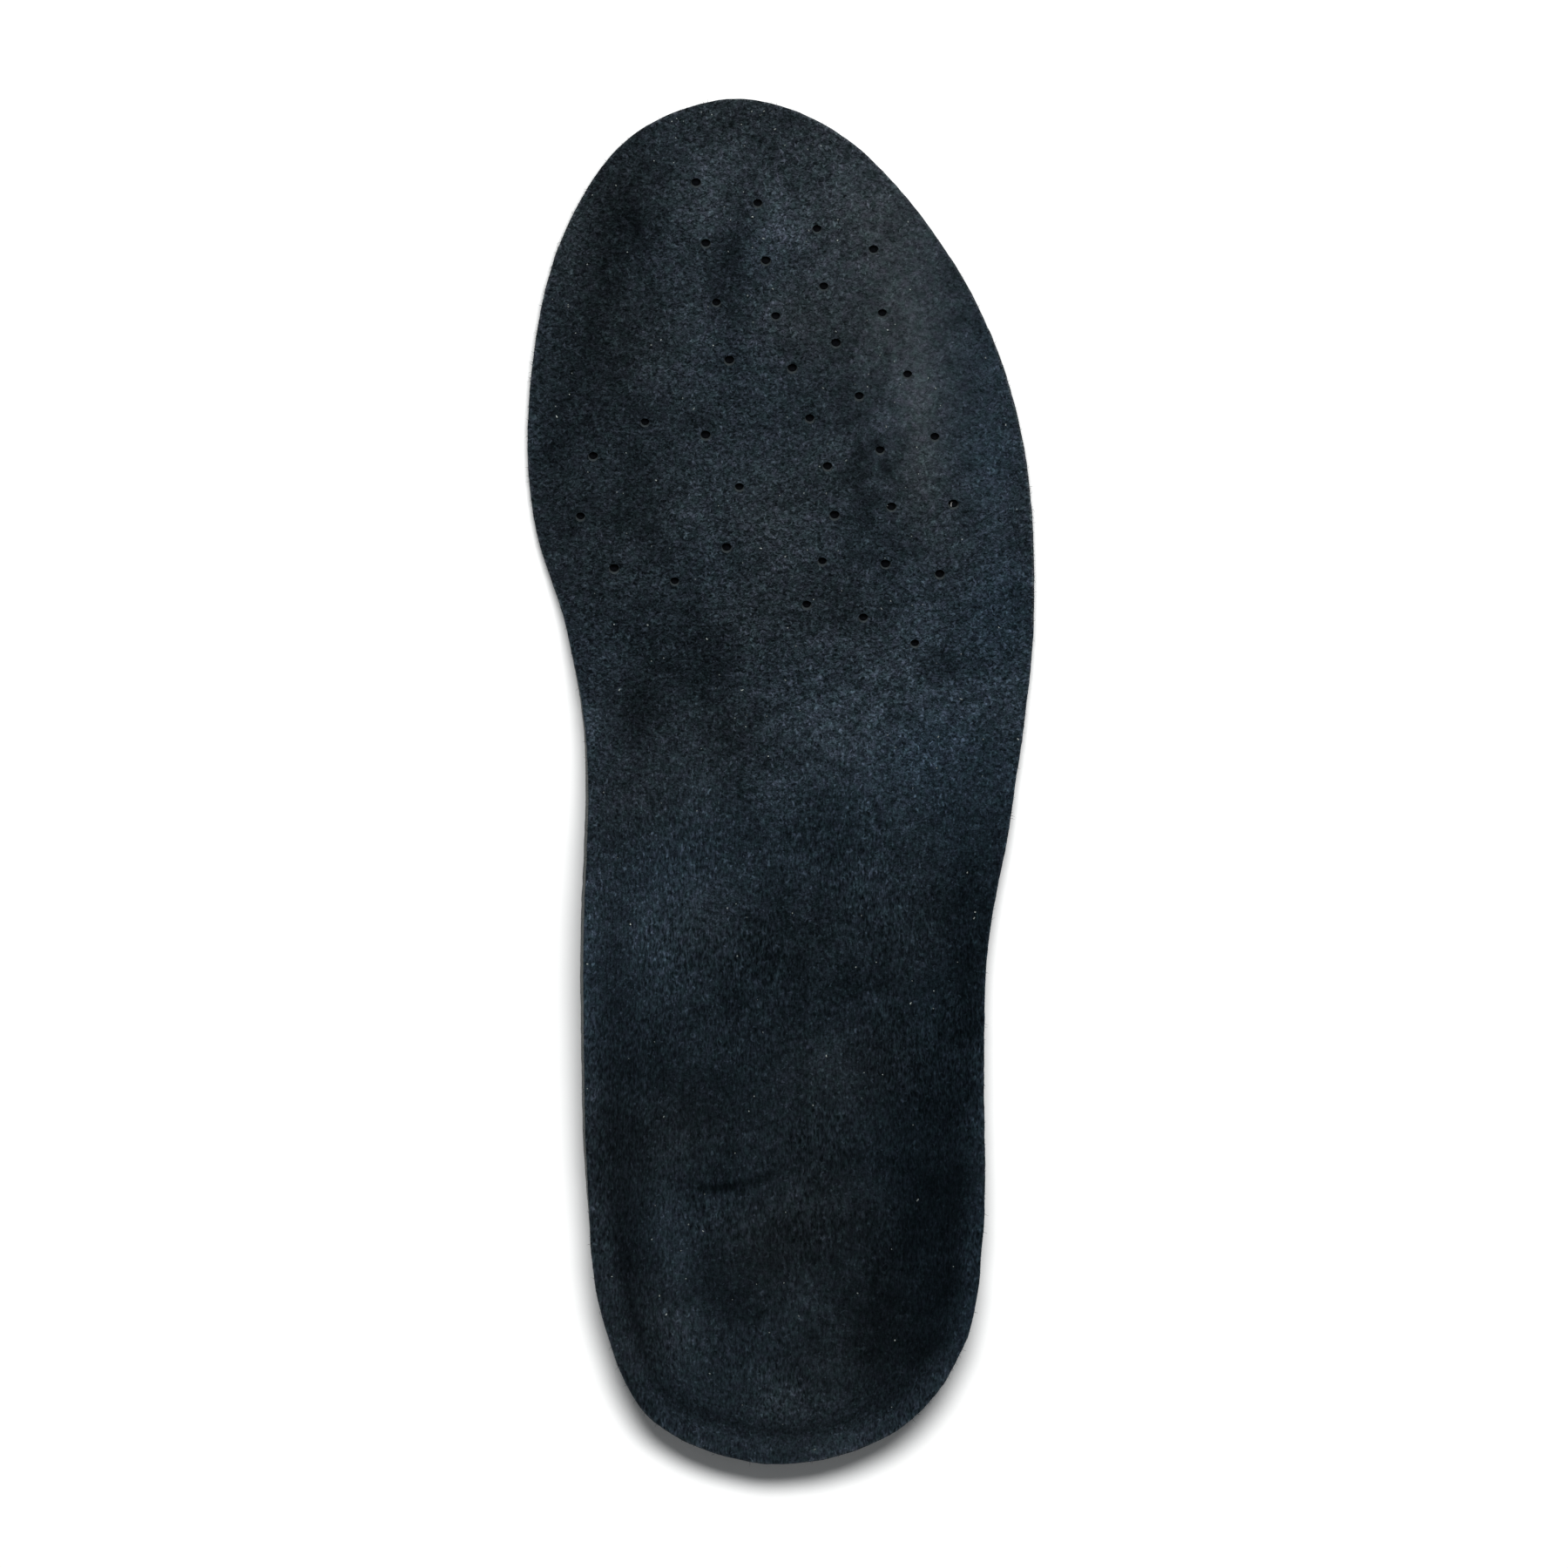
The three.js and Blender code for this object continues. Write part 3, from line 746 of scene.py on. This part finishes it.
def store_nap_and_painted_light(cover):
    """Keeps how light, blue, combed and ruffled the nap is at each point, for the cover's material. The
    lightness includes painted highlights on the heel rim, the groove's crest and the cut edge, and painted
    shade in the heel groove, the crease and some slope patches.
    """
    x, y, _ = vertex_columns(cover)
    edge_y, inner, distance = to_edge(x, y)
    # The patches include painted light and shade on the slopes, and the crease term is painted shade.
    tone = along(NAP_ALONG, y) + patches_at(x, y, NAP_AND_PAINTED_LIGHT_PATCHES) - CREASE_PAINTED_SHADE * smile_crease(x, y)
    # Painted highlight along the top of the heel rim, stronger on the outer side.
    rim = fade(edge_y, *RIM_SPAN) * np.where(inner, 0.4, 1) * np.exp(-((distance / RIM_WIDTH) ** 2))
    # Painted highlight on the crest outside the heel groove, and painted shade in the groove.
    crest_painted_highlight = heel_groove(edge_y, inner, distance + CREST_SHIFT)
    tone = tone + RIM_PAINTED_HIGHLIGHT * rim + GROOVE_PAINTED_SHADE_AND_HIGHLIGHT * (crest_painted_highlight - heel_groove(edge_y, inner, distance))
    mottling = patches_at(x, y, CRINKLED_PATCHES) * noises(x, y, MOTTLES)
    tone = tone * (1 + noises(x, y, CLOUDS)) * (1 + CRINKLE_CONTRAST * mottling)
    # The cut edge's paler colour, with a painted highlight at full strength along the outer side of the toes
    # and weaker elsewhere.
    cut_edge_and_highlight = (distance < CUT_WIDTH) * np.where(~inner & (y > 30), 1, 0.3)
    tone = tone + CUT_EDGE_AND_HIGHLIGHT_TONE * cut_edge_and_highlight
    ruffled = from_toes(RUFFLED_AT_TOES, RUFFLED_CHANGES, y) + patches_at(x, y, RUFFLED_PATCHES)
    blue = from_toes(BLUE_AT_TOES, BLUE_CHANGES, y) + patches_at(x, y, BLUE_PATCHES)
    blue = blue + 0.2 * noise(x, y, 14, 11) - cut_edge_and_highlight
    combed = fade(y, *COMBED_SPAN) * (0.8 + 0.4 * noise(x, y, 12, 12))
    stored = {"nap_and_painted_light": (tone - NAP_BLACK) / NAP_FULL, "blue": blue, "combed": combed, "ruffled": ruffled}
    for name, values in stored.items():
        attribute = cover.data.attributes.new(name, "FLOAT", "POINT")
        attribute.data.foreach_set("value", np.clip(values, 0, 1).astype(np.float32))


def vertex_columns(piece):
    """The x, y and z of a piece's points, in millimetres."""
    points = np.empty(3 * len(piece.data.vertices))
    piece.data.vertices.foreach_get("co", points)
    return points.reshape(-1, 3).T / MM


def build_edge_fibres(suede):
    """Short bent fibres that stick out of the cover's cut edge."""
    random = np.random.default_rng(SEED + 30)
    starts, ends = insole_rays(COVER_STEP)
    outwards = ends - starts
    outwards /= np.linalg.norm(outwards, axis=1, keepdims=True)
    ends = ends - outwards * setback((starts, ends))[:, None]
    lines = []
    for low, high, inner, density in FUZZY:
        on_stretch = (ends[:, 1] >= low) & (ends[:, 1] <= high) & ((ends[:, 0] < starts[:, 0]) == inner)
        for i in np.flatnonzero(on_stretch & (random.random(len(ends)) < density * COVER_STEP)):
            lines.append(fibre_line(ends[i], outwards[i], random))
    return tapered_strands("cover_edge_fibres", np.array(lines), FIBRE_RADIUS, suede)


def build_lint(material):
    """Pale bits of fibre caught on the nap, with more of them towards the toes."""
    random = np.random.default_rng(SEED + 40)
    tries = 4 * LINT_COUNT
    half_width, half_length = LINT_BOX
    x = random.uniform(-half_width, half_width, tries)
    y = half_length * (1 - 2 * random.random(tries) ** 2)
    inside = np.flatnonzero(to_edge(x, y)[2] > 1)[:LINT_COUNT]
    places = [*LINT_SEEN, *zip(x[inside], y[inside])]
    lines = []
    for i, place in enumerate(places):
        length = LINT_SEEN_LENGTH if i < len(LINT_SEEN) else 0.15 + 0.4 * random.random() ** 3
        heading = random.uniform(0, math.pi)
        step = length / 3 * np.array([math.cos(heading), math.sin(heading)])
        wander = random.normal(0, length / 12, (4, 2))
        points = np.array(place) + np.outer((-1.5, -0.5, 0.5, 1.5), step) + wander
        lines.append(np.column_stack([points, cover_upper(*points.T) + 0.06]))
    return tapered_strands("cover_lint", np.array(lines), LINT_RADIUS, material, blunt=0.6)


def fibre_line(root, outward, random):
    """Points along one fibre, which turns steadily as it goes."""
    turn, bend = random.normal(0, 0.6), random.normal(0, 0.5)
    reach = random.uniform(0.25, 0.6) if random.random() < 0.7 else random.uniform(0.6, 1.3)
    x, y = root - 0.15 * outward
    z = float(below(0)(x, y)) - random.uniform(0.1, 0.8)
    rise = random.normal(0, 0.25)
    points = [(x, y, z)]
    heading = math.atan2(outward[1], outward[0]) + turn
    step = reach / FIBRE_STEPS
    for _ in range(FIBRE_STEPS):
        x, y, z = x + step * math.cos(heading), y + step * math.sin(heading), z + step * rise
        heading += bend
        points.append((x, y, z))
    return points


def tapered_strands(name, lines, radius, material, blunt=0.0):
    """Three-sided closed strands along lines of points, each tapering to its last point.

    `blunt` is how much of its thickness a strand keeps up to there.
    """
    count, length = lines.shape[:2]
    ahead = lines[:, -1] - lines[:, 0]
    side = np.cross(ahead, (0, 0, 1))
    side /= np.linalg.norm(side, axis=1, keepdims=True)
    up = np.cross(side, ahead)
    up /= np.linalg.norm(up, axis=1, keepdims=True)
    rings = []
    for k in range(length - 1):
        wide = radius * (1 - (1 - blunt) * k / (length - 1))
        for turn in (0, 2 * math.pi / 3, 4 * math.pi / 3):
            rings.append(lines[:, k] + wide * (math.cos(turn) * side + math.sin(turn) * up))
    points = np.stack([*rings, lines[:, -1]], axis=1).reshape(-1, 3) * MM
    tip = 3 * (length - 1)
    faces = [(2, 1, 0)]
    for k in range(length - 1):
        for a, b in ((0, 1), (1, 2), (2, 0)):
            low = (3 * k + a, 3 * k + b)
            faces.append((*low, tip) if k == length - 2 else (*low, 3 * k + 3 + b, 3 * k + 3 + a))
    mesh = bpy.data.meshes.new(name)
    firsts = range(0, count * (tip + 1), tip + 1)
    every = [tuple(first + corner for corner in face) for first in firsts for face in faces]
    mesh.from_pydata(points.tolist(), [], every)
    mesh.materials.append(material)
    piece = bpy.data.objects.new(name, mesh)
    bpy.context.scene.collection.objects.link(piece)
    return piece


# ---- Foam layers and let-in pieces ----


def build_cushion(foam, shade):
    rays = insole_rays(FOAM_STEP)
    back = setback(rays)
    insets = spaced_insets(2)
    upper_insets = [back + inset for inset in insets]
    lower_insets = [back / 4 + inset for inset in insets]
    upper = ring_points(rays, upper_insets, below(COVER + GLUE / 4), rounding=0.08)
    lower = ring_points(rays, lower_insets, below(BASE_DEPTH - GLUE), rounding=-0.08)
    cushion = closed_mesh("foam_cushion", upper, lower, foam)
    radius = HOLE_RADIUS + 0.2
    # The hole walls take the painted shade material.
    apply_cut(cushion, punches(radius, radius, 2 * BASE_DEPTH, shade))
    return cushion


def build_metatarsal_pad(foam):
    share = DOME["pad_share"]
    rays = oval_rays({"at": DOME["at"], "half": [h * share for h in DOME["half"]], "turn": 0})
    insets = spaced_insets(1, reach=20)
    upper = ring_points(rays, insets, below(BASE_DEPTH - GLUE / 2), rounding=0.2)
    lower = ring_points(rays, insets, lambda x, y: base_top(x, y) + GLUE / 2)
    return closed_mesh("metatarsal_dome", upper, lower, foam)


def whole_base(name, foam, shade):
    """The base before it is cut at the flex line: its wall curves in from the rim to the floor."""
    rays = insole_rays(BASE_STEP)
    starts, ends = rays
    lean = wall_lean(ends[:, 1], ends[:, 0] < starts[:, 0])
    turn = np.linspace(0, math.pi / 2, 15)
    wall = [lean * (1 - math.cos(angle)) for angle in turn]
    upper_insets = [setback(rays) / 4 + inset for inset in spaced_insets(1.6)]
    lower_insets = [*wall, *(lean + inset for inset in (1, 4, 9, 16, 25)), TO_MIDDLE]
    upper = ring_points(rays, upper_insets, base_top, rounding=0.2)
    lower = ring_points(rays, lower_insets, underside)
    # The upper face, seen only through holes and gaps, takes the painted shade material.
    return closed_mesh(name, upper, lower, foam, shade)


def tall_cutter(rays, roof):
    """A body that reaches from far below the floor up to a roof surface."""
    insets = spaced_insets(2)
    lower = ring_points(rays, insets, level(-9))
    return closed_mesh("cutter", ring_points(rays, insets, roof), lower)


def build_rear_base(foam, shade):
    base = whole_base("rear_cradle", foam, shade)
    keep_side_of_flex(base, toe_side=False)
    apply_cut(base, tall_cutter(shell_rays(FIT_GAP), above_underside(SHELL["thickness"] + FIT_GAP)))
    roof = HEEL_PAD["thickness"] + FLOOR_CLEARANCE + FIT_GAP
    apply_cut(base, tall_cutter(oval_rays(HEEL_PAD, FIT_GAP), level(roof)))
    return base


def build_forefoot_base(foam, shade):
    base = whole_base("forefoot_sheet", foam, shade)
    keep_side_of_flex(base, toe_side=True)
    apply_cut(base, tall_cutter(oval_rays(BALL_PAD, FIT_GAP), level(20)))
    return base


def dotted(x, y):
    """A pad's lower face, pressed in in dots on a triangular grid."""
    across, along_it = DOTS["pitch"], DOTS["pitch"] * math.sqrt(3)
    height = FLOOR_CLEARANCE
    for shift in (0, 0.5):
        u = (x / across + shift) % 1 - 0.5
        v = (y / along_it + shift) % 1 - 0.5
        reach = np.hypot(u * across, v * along_it) / DOTS["radius"]
        height = height + DOTS["depth"] * np.maximum(0, 1 - reach**2) ** 2
    return height


def build_gel_pad(name, pad, top, gel, shade):
    rays = oval_rays(pad, sides=3 * OVAL_SIDES)
    upper = ring_points(rays, spaced_insets(2), top, rounding=0.3)
    lower = ring_points(rays, spaced_insets(0.4), dotted, rounding=-0.4)
    # The upper face, seen only through holes and gaps, takes the painted shade material.
    return closed_mesh(name, upper, lower, gel, shade)


def build_shell(plastic):
    """The arch plate, with shallow grooves along its lower face."""

    def grooved(x, y):
        line = np.abs((x + GROOVES["slant"] * y) / GROOVES["pitch"] % 1 - 0.5)
        from_end = SHELL["half_length"] - np.abs(y - SHELL["y"])
        ends = fade(from_end, GROOVES["end_inset"], GROOVES["end_inset"] + 4)
        sides = fade(to_edge(x, y)[2], GROOVES["side_inset"], GROOVES["side_inset"] + 3)
        depth = GROOVES["depth"] * ends * sides * np.exp(-((line / GROOVES["half_share"]) ** 2))
        return above_underside(FLOOR_CLEARANCE)(x, y) + depth

    rays = shell_rays(sides=4 * OVAL_SIDES)
    top = above_underside(SHELL["thickness"])
    upper = ring_points(rays, spaced_insets(2, reach=60), top, rounding=0.4)
    lower = ring_points(rays, scaled_insets(rays, 64), grooved, rounding=-0.5)
    return closed_mesh("arch_plate", upper, lower, plastic)


# ---- Materials ----


class Nodes:
    """A material's node tree, with short calls for adding and joining nodes."""

    def __init__(self, name, **shader):
        self.material = bpy.data.materials.new(name)
        self.material.use_nodes = True
        self.tree = self.material.node_tree
        self.shader = self.tree.nodes["Principled BSDF"]
        for socket, value in shader.items():
            self.shader.inputs[socket.replace("_", " ")].default_value = value

    def add(self, kind, **inputs):
        node = self.tree.nodes.new(kind)
        for key, value in inputs.items():
            if key in node.bl_rna.properties:
                setattr(node, key, value)
            else:
                self.set(node.inputs[key.replace("_", " ")], value)
        return node

    def set(self, socket, value):
        if isinstance(value, bpy.types.NodeSocket):
            self.tree.links.new(value, socket)
        else:
            socket.default_value = value

    def attribute(self, name):
        return self.add("ShaderNodeAttribute", attribute_name=name).outputs["Fac"]

    def scaled(self, scale):
        where = self.add("ShaderNodeTexCoord").outputs["Object"]
        node = self.tree.nodes.new("ShaderNodeVectorMath")
        node.operation = "MULTIPLY"
        self.tree.links.new(where, node.inputs[0])
        node.inputs[1].default_value = scale
        return node.outputs[0]

    def noise(self, scale, detail=2.0, rough=0.5, distortion=0.0):
        node = self.add("ShaderNodeTexNoise", Vector=self.scaled(scale), Scale=1.0, Detail=detail)
        node.inputs["Roughness"].default_value = rough
        node.inputs["Distortion"].default_value = distortion
        return node.outputs["Fac"]

    def voronoi(self, scale):
        node = self.add("ShaderNodeTexVoronoi", Vector=self.scaled(scale), Scale=1.0)
        return node.outputs["Distance"]

    def math(self, operation, *values):
        node = self.tree.nodes.new("ShaderNodeMath")
        node.operation = operation
        for socket, value in zip(node.inputs, values):
            self.set(socket, value)
        return node.outputs[0]

    def span(self, value, low, high, to_low=0.0, to_high=1.0):
        node = self.tree.nodes.new("ShaderNodeMapRange")
        keys = ("Value", "From Min", "From Max", "To Min", "To Max")
        for key, given in zip(keys, (value, low, high, to_low, to_high)):
            self.set(node.inputs[key], given)
        return node.outputs["Result"]

    def blend(self, share, a, b):
        """A value part of the way from a to b."""
        node = self.tree.nodes.new("ShaderNodeMix")
        for key, given in zip(("Factor", "A", "B"), (share, a, b)):
            self.set(node.inputs[key], given)
        return node.outputs["Result"]

    def ramp(self, value, *stops):
        node = self.tree.nodes.new("ShaderNodeValToRGB")
        elements = node.color_ramp.elements
        while len(elements) < len(stops):
            elements.new(0.5)
        for element, (at, colour) in zip(elements, stops):
            element.position = at
            element.color = (*colour, 1)
        self.tree.links.new(value, node.inputs["Fac"])
        return node.outputs["Color"]

    def mix(self, share, a, b, blend="MIX"):
        node = self.tree.nodes.new("ShaderNodeMix")
        node.data_type = "RGBA"
        node.blend_type = blend
        self.set(node.inputs["Factor"], share)
        for socket, value in zip((s for s in node.inputs if s.type == "RGBA"), (a, b)):
            self.set(socket, (*value, 1) if isinstance(value, tuple) else value)
        return next(s for s in node.outputs if s.type == "RGBA")

    def colour(self, value):
        self.set(self.shader.inputs["Base Color"], value)

    def roughness(self, value):
        self.set(self.shader.inputs["Roughness"], value)

    def bump(self, height, distance, strength=1.0):
        node = self.tree.nodes.new("ShaderNodeBump")
        node.inputs["Strength"].default_value = strength
        node.inputs["Distance"].default_value = distance
        self.tree.links.new(height, node.inputs["Height"])
        self.tree.links.new(node.outputs["Normal"], self.shader.inputs["Normal"])


def suede_material():
    """Blue-black brushed microfibre: short fibres that lie in strokes, combed straight towards the heel."""
    n = Nodes("suede", Sheen_Weight=0.05, Sheen_Roughness=0.4, Specular_IOR_Level=0.02, Roughness=0.9)
    n.shader.inputs["Sheen Tint"].default_value = (0.6, 0.8, 1, 1)
    tousled = n.noise((1400, 2000, 1700), detail=1.0, rough=0.7, distortion=1.0)
    combed = n.noise((2300, 850, 1700), detail=1.0, rough=0.7, distortion=0.3)
    fibres = n.blend(n.attribute("combed"), tousled, combed)
    strength = n.math("MULTIPLY", n.attribute("ruffled"), FIBRE_CONTRAST)
    lit = n.math("POWER", n.math("MULTIPLY", fibres, 2.0), strength)
    tufts = n.span(n.noise((900, 800, 900)), 0.3, 0.7, to_low=0.31, to_high=0.53)
    # Painted glints: bright flecks where fibres would catch the light, more of them where the strokes are
    # ruffled.
    painted_glints = n.span(n.noise((1500, 1200, 1300), detail=1.0, distortion=0.6), 0.62, 0.82, to_high=1.7)
    lit = n.math("MULTIPLY_ADD", lit, tufts, n.math("MULTIPLY", painted_glints, n.attribute("ruffled")))
    # The stored lightness carries painted highlights and painted shade as well as the nap's own tone.
    tone = n.math("MULTIPLY", n.attribute("nap_and_painted_light"), lit)
    neutral = n.ramp(
        tone, (0, (0.0004, 0.0007, 0.0008)), (0.15, (0.0164, 0.0208, 0.0234)), (1, (0.114, 0.135, 0.150))
    )
    bluish = n.ramp(
        tone, (0, (0.0002, 0.0007, 0.001)), (0.15, (0.0123, 0.0203, 0.0276)), (1, (0.089, 0.132, 0.184))
    )
    cloth = n.mix(n.attribute("blue"), neutral, bluish)
    tint = n.ramp(n.noise((650, 600, 650)), (0.3, (0.84, 0.95, 0.9)), (0.7, (1, 0.9, 0.98)))
    cloth = n.mix(1.0, cloth, tint, blend="MULTIPLY")
    n.colour(cloth)
    n.bump(fibres, distance=0.0003)
    return n.material


def foam_material(name, dark, light, cell, bump):
    """Foam: two tones in fine cells, with small pores."""
    n = Nodes(name, Specular_IOR_Level=0.2)
    cells = n.voronoi((cell, cell, cell))
    tone = n.noise((cell / 9, cell / 9, cell / 9), detail=3.0)
    pores = n.math("ADD", n.math("MULTIPLY", cells, 0.6), n.math("MULTIPLY", tone, 0.6))
    n.colour(n.ramp(pores, (0.15, dark), (0.75, light)))
    n.roughness(n.span(tone, 0.3, 0.7, to_low=0.78, to_high=0.95))
    n.bump(pores, distance=bump, strength=0.7)
    return n.material


def plastic_material():
    n = Nodes("shell_plastic", Specular_IOR_Level=0.45)
    grain = n.noise((2400, 2400, 2400))
    wear = n.noise((60, 45, 60), detail=4.0)
    n.colour(n.ramp(wear, (0.3, (0.009, 0.0095, 0.011)), (0.75, (0.016, 0.017, 0.02))))
    n.roughness(n.span(wear, 0.3, 0.7, to_low=0.36, to_high=0.55))
    n.bump(grain, distance=0.00005, strength=0.6)
    return n.material


def gel_material():
    n = Nodes("gel", Specular_IOR_Level=0.5)
    n.shader.inputs["Subsurface Weight"].default_value = 0.15
    n.shader.inputs["Subsurface Radius"].default_value = (0.002, 0.003, 0.004)
    cloud = n.noise((70, 70, 70), detail=3.0)
    dust = n.noise((900, 900, 900))
    n.colour(n.ramp(cloud, (0.3, (0.012, 0.027, 0.045)), (0.7, (0.02, 0.042, 0.066))))
    n.roughness(n.span(dust, 0.35, 0.7, to_low=0.3, to_high=0.6))
    n.bump(dust, distance=0.00004, strength=0.5)
    return n.material


def lint_material():
    n = Nodes("lint", Specular_IOR_Level=0.1, Roughness=0.9)
    n.colour(n.ramp(n.noise((900, 900, 900)), (0.4, (0.07, 0.08, 0.08)), (0.65, (0.36, 0.4, 0.38))))
    return n.material


def plain_material(name, colour):
    """Matt and dark, with a little variation, for surfaces that only show inside a hole or at a cut."""
    n = Nodes(name, Specular_IOR_Level=0.02, Roughness=1)
    dark = tuple(0.6 * channel for channel in colour)
    n.colour(n.ramp(n.noise((1500, 1500, 1500)), (0.35, dark), (0.65, colour)))
    return n.material


# ---- Putting it together ----


def across_flex(piece):
    """Bakes the piece's place into its mesh."""
    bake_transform(piece)


def build_insole():
    suede = suede_material()
    # Painted shade: near-black for the cushion's hole walls and the upper faces of the bases and gel pads,
    # which show only in shadow through holes and gaps.
    shade = plain_material("painted_shade", (0.0035, 0.004, 0.005))
    cut_fibres = plain_material("cut_fibres", (0.068, 0.083, 0.089))
    firm = foam_material("firm_foam", (0.012, 0.014, 0.017), (0.032, 0.036, 0.042), 1500, 0.00012)
    soft = foam_material("soft_base_foam", (0.016, 0.018, 0.022), (0.042, 0.046, 0.053), 1700, 0.00012)
    grey = foam_material("cushion_foam", (0.04, 0.045, 0.045), (0.11, 0.118, 0.115), 3300, 0.0001)
    pale = foam_material("pad_foam", (0.2, 0.21, 0.22), (0.34, 0.35, 0.36), 1800, 0.00012)
    gel = gel_material()
    heel_top = HEEL_PAD["thickness"] + FLOOR_CLEARANCE
    cover = build_cover(suede, cut_fibres)
    fibres = build_edge_fibres(suede)
    cushion = build_cushion(grey, shade)
    lint = build_lint(lint_material())
    bending = [
        (cover, "cover_suede", "top_cover"),
        (fibres, "cover_suede", None),
        (lint, "cover_suede", None),
        (cushion, "cushion_foam", "cushion_layer"),
        (build_metatarsal_pad(pale), "pad_foam", "metatarsal_pad"),
        (build_rear_base(firm, shade), "firm_foam", "rear_base"),
        (build_forefoot_base(soft, shade), "soft_base_foam", "forefoot_base"),
        (build_gel_pad("ball_gel", BALL_PAD, base_top, gel, shade), "gel", "ball_pad"),
    ]
    rigid = [
        (build_gel_pad("heel_gel", HEEL_PAD, level(heel_top), gel, shade), "gel", "heel_pad"),
        (build_shell(plastic_material()), "shell_plastic", "arch_shell"),
    ]
    for piece, slot, node in [*bending, *rigid]:
        if node:
            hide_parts(node)
    for piece, *_ in bending:
        across_flex(piece)
    for piece, *_ in rigid:
        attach(piece, "rear")


# ---- Floor, light and camera ----


def build_floor():
    mesh = bpy.data.meshes.new("floor")
    corners = [(x * FLOOR_HALF, y * FLOOR_HALF, 0) for x, y in ((-1, -1), (1, -1), (1, 1), (-1, 1))]
    mesh.from_pydata(corners, [], [(0, 1, 2, 3)])
    floor = bpy.data.objects.new("floor", mesh)
    floor.location.z = -FLOOR_DROP
    bpy.context.scene.collection.objects.link(floor)
    n = Nodes("white_floor", Roughness=0.9, Specular_IOR_Level=0.1)
    n.shader.inputs["Base Color"].default_value = FLOOR_WHITE
    mesh.materials.append(n.material)


def build_sky():
    world = bpy.data.worlds.new("soft_light")
    bpy.context.scene.world = world
    world.use_nodes = True
    background = world.node_tree.nodes["Background"]
    background.inputs["Color"].default_value = SKY_COLOUR
    background.inputs["Strength"].default_value = SKY_STRENGTH


def build_lamp():
    """A soft oval lamp overhead, turned towards the insole."""
    data = bpy.data.lights.new("overhead", "AREA")
    data.shape = "ELLIPSE"
    data.size, data.size_y = LAMP["size"]
    data.energy = LAMP["power"]
    lamp = bpy.data.objects.new("overhead", data)
    lamp.location = LAMP["at"]
    towards = -lamp.location
    lamp.rotation_euler = towards.to_track_quat("-Z", "Y").to_euler()
    bpy.context.scene.collection.objects.link(lamp)


def build_camera():
    """Straight above, from far enough for the raised edges to keep their outline."""
    data = bpy.data.cameras.new("camera")
    data.sensor_width = SENSOR
    data.lens = SENSOR * CAMERA_AT[2] / VIEW_HEIGHT
    data.clip_end = 20
    camera = bpy.data.objects.new("camera", data)
    camera.location = CAMERA_AT
    bpy.context.scene.collection.objects.link(camera)
    bpy.context.scene.camera = camera
    bpy.context.scene.view_settings.view_transform = "Standard"


build_floor()
build_sky()
build_lamp()
build_camera()
build_insole()
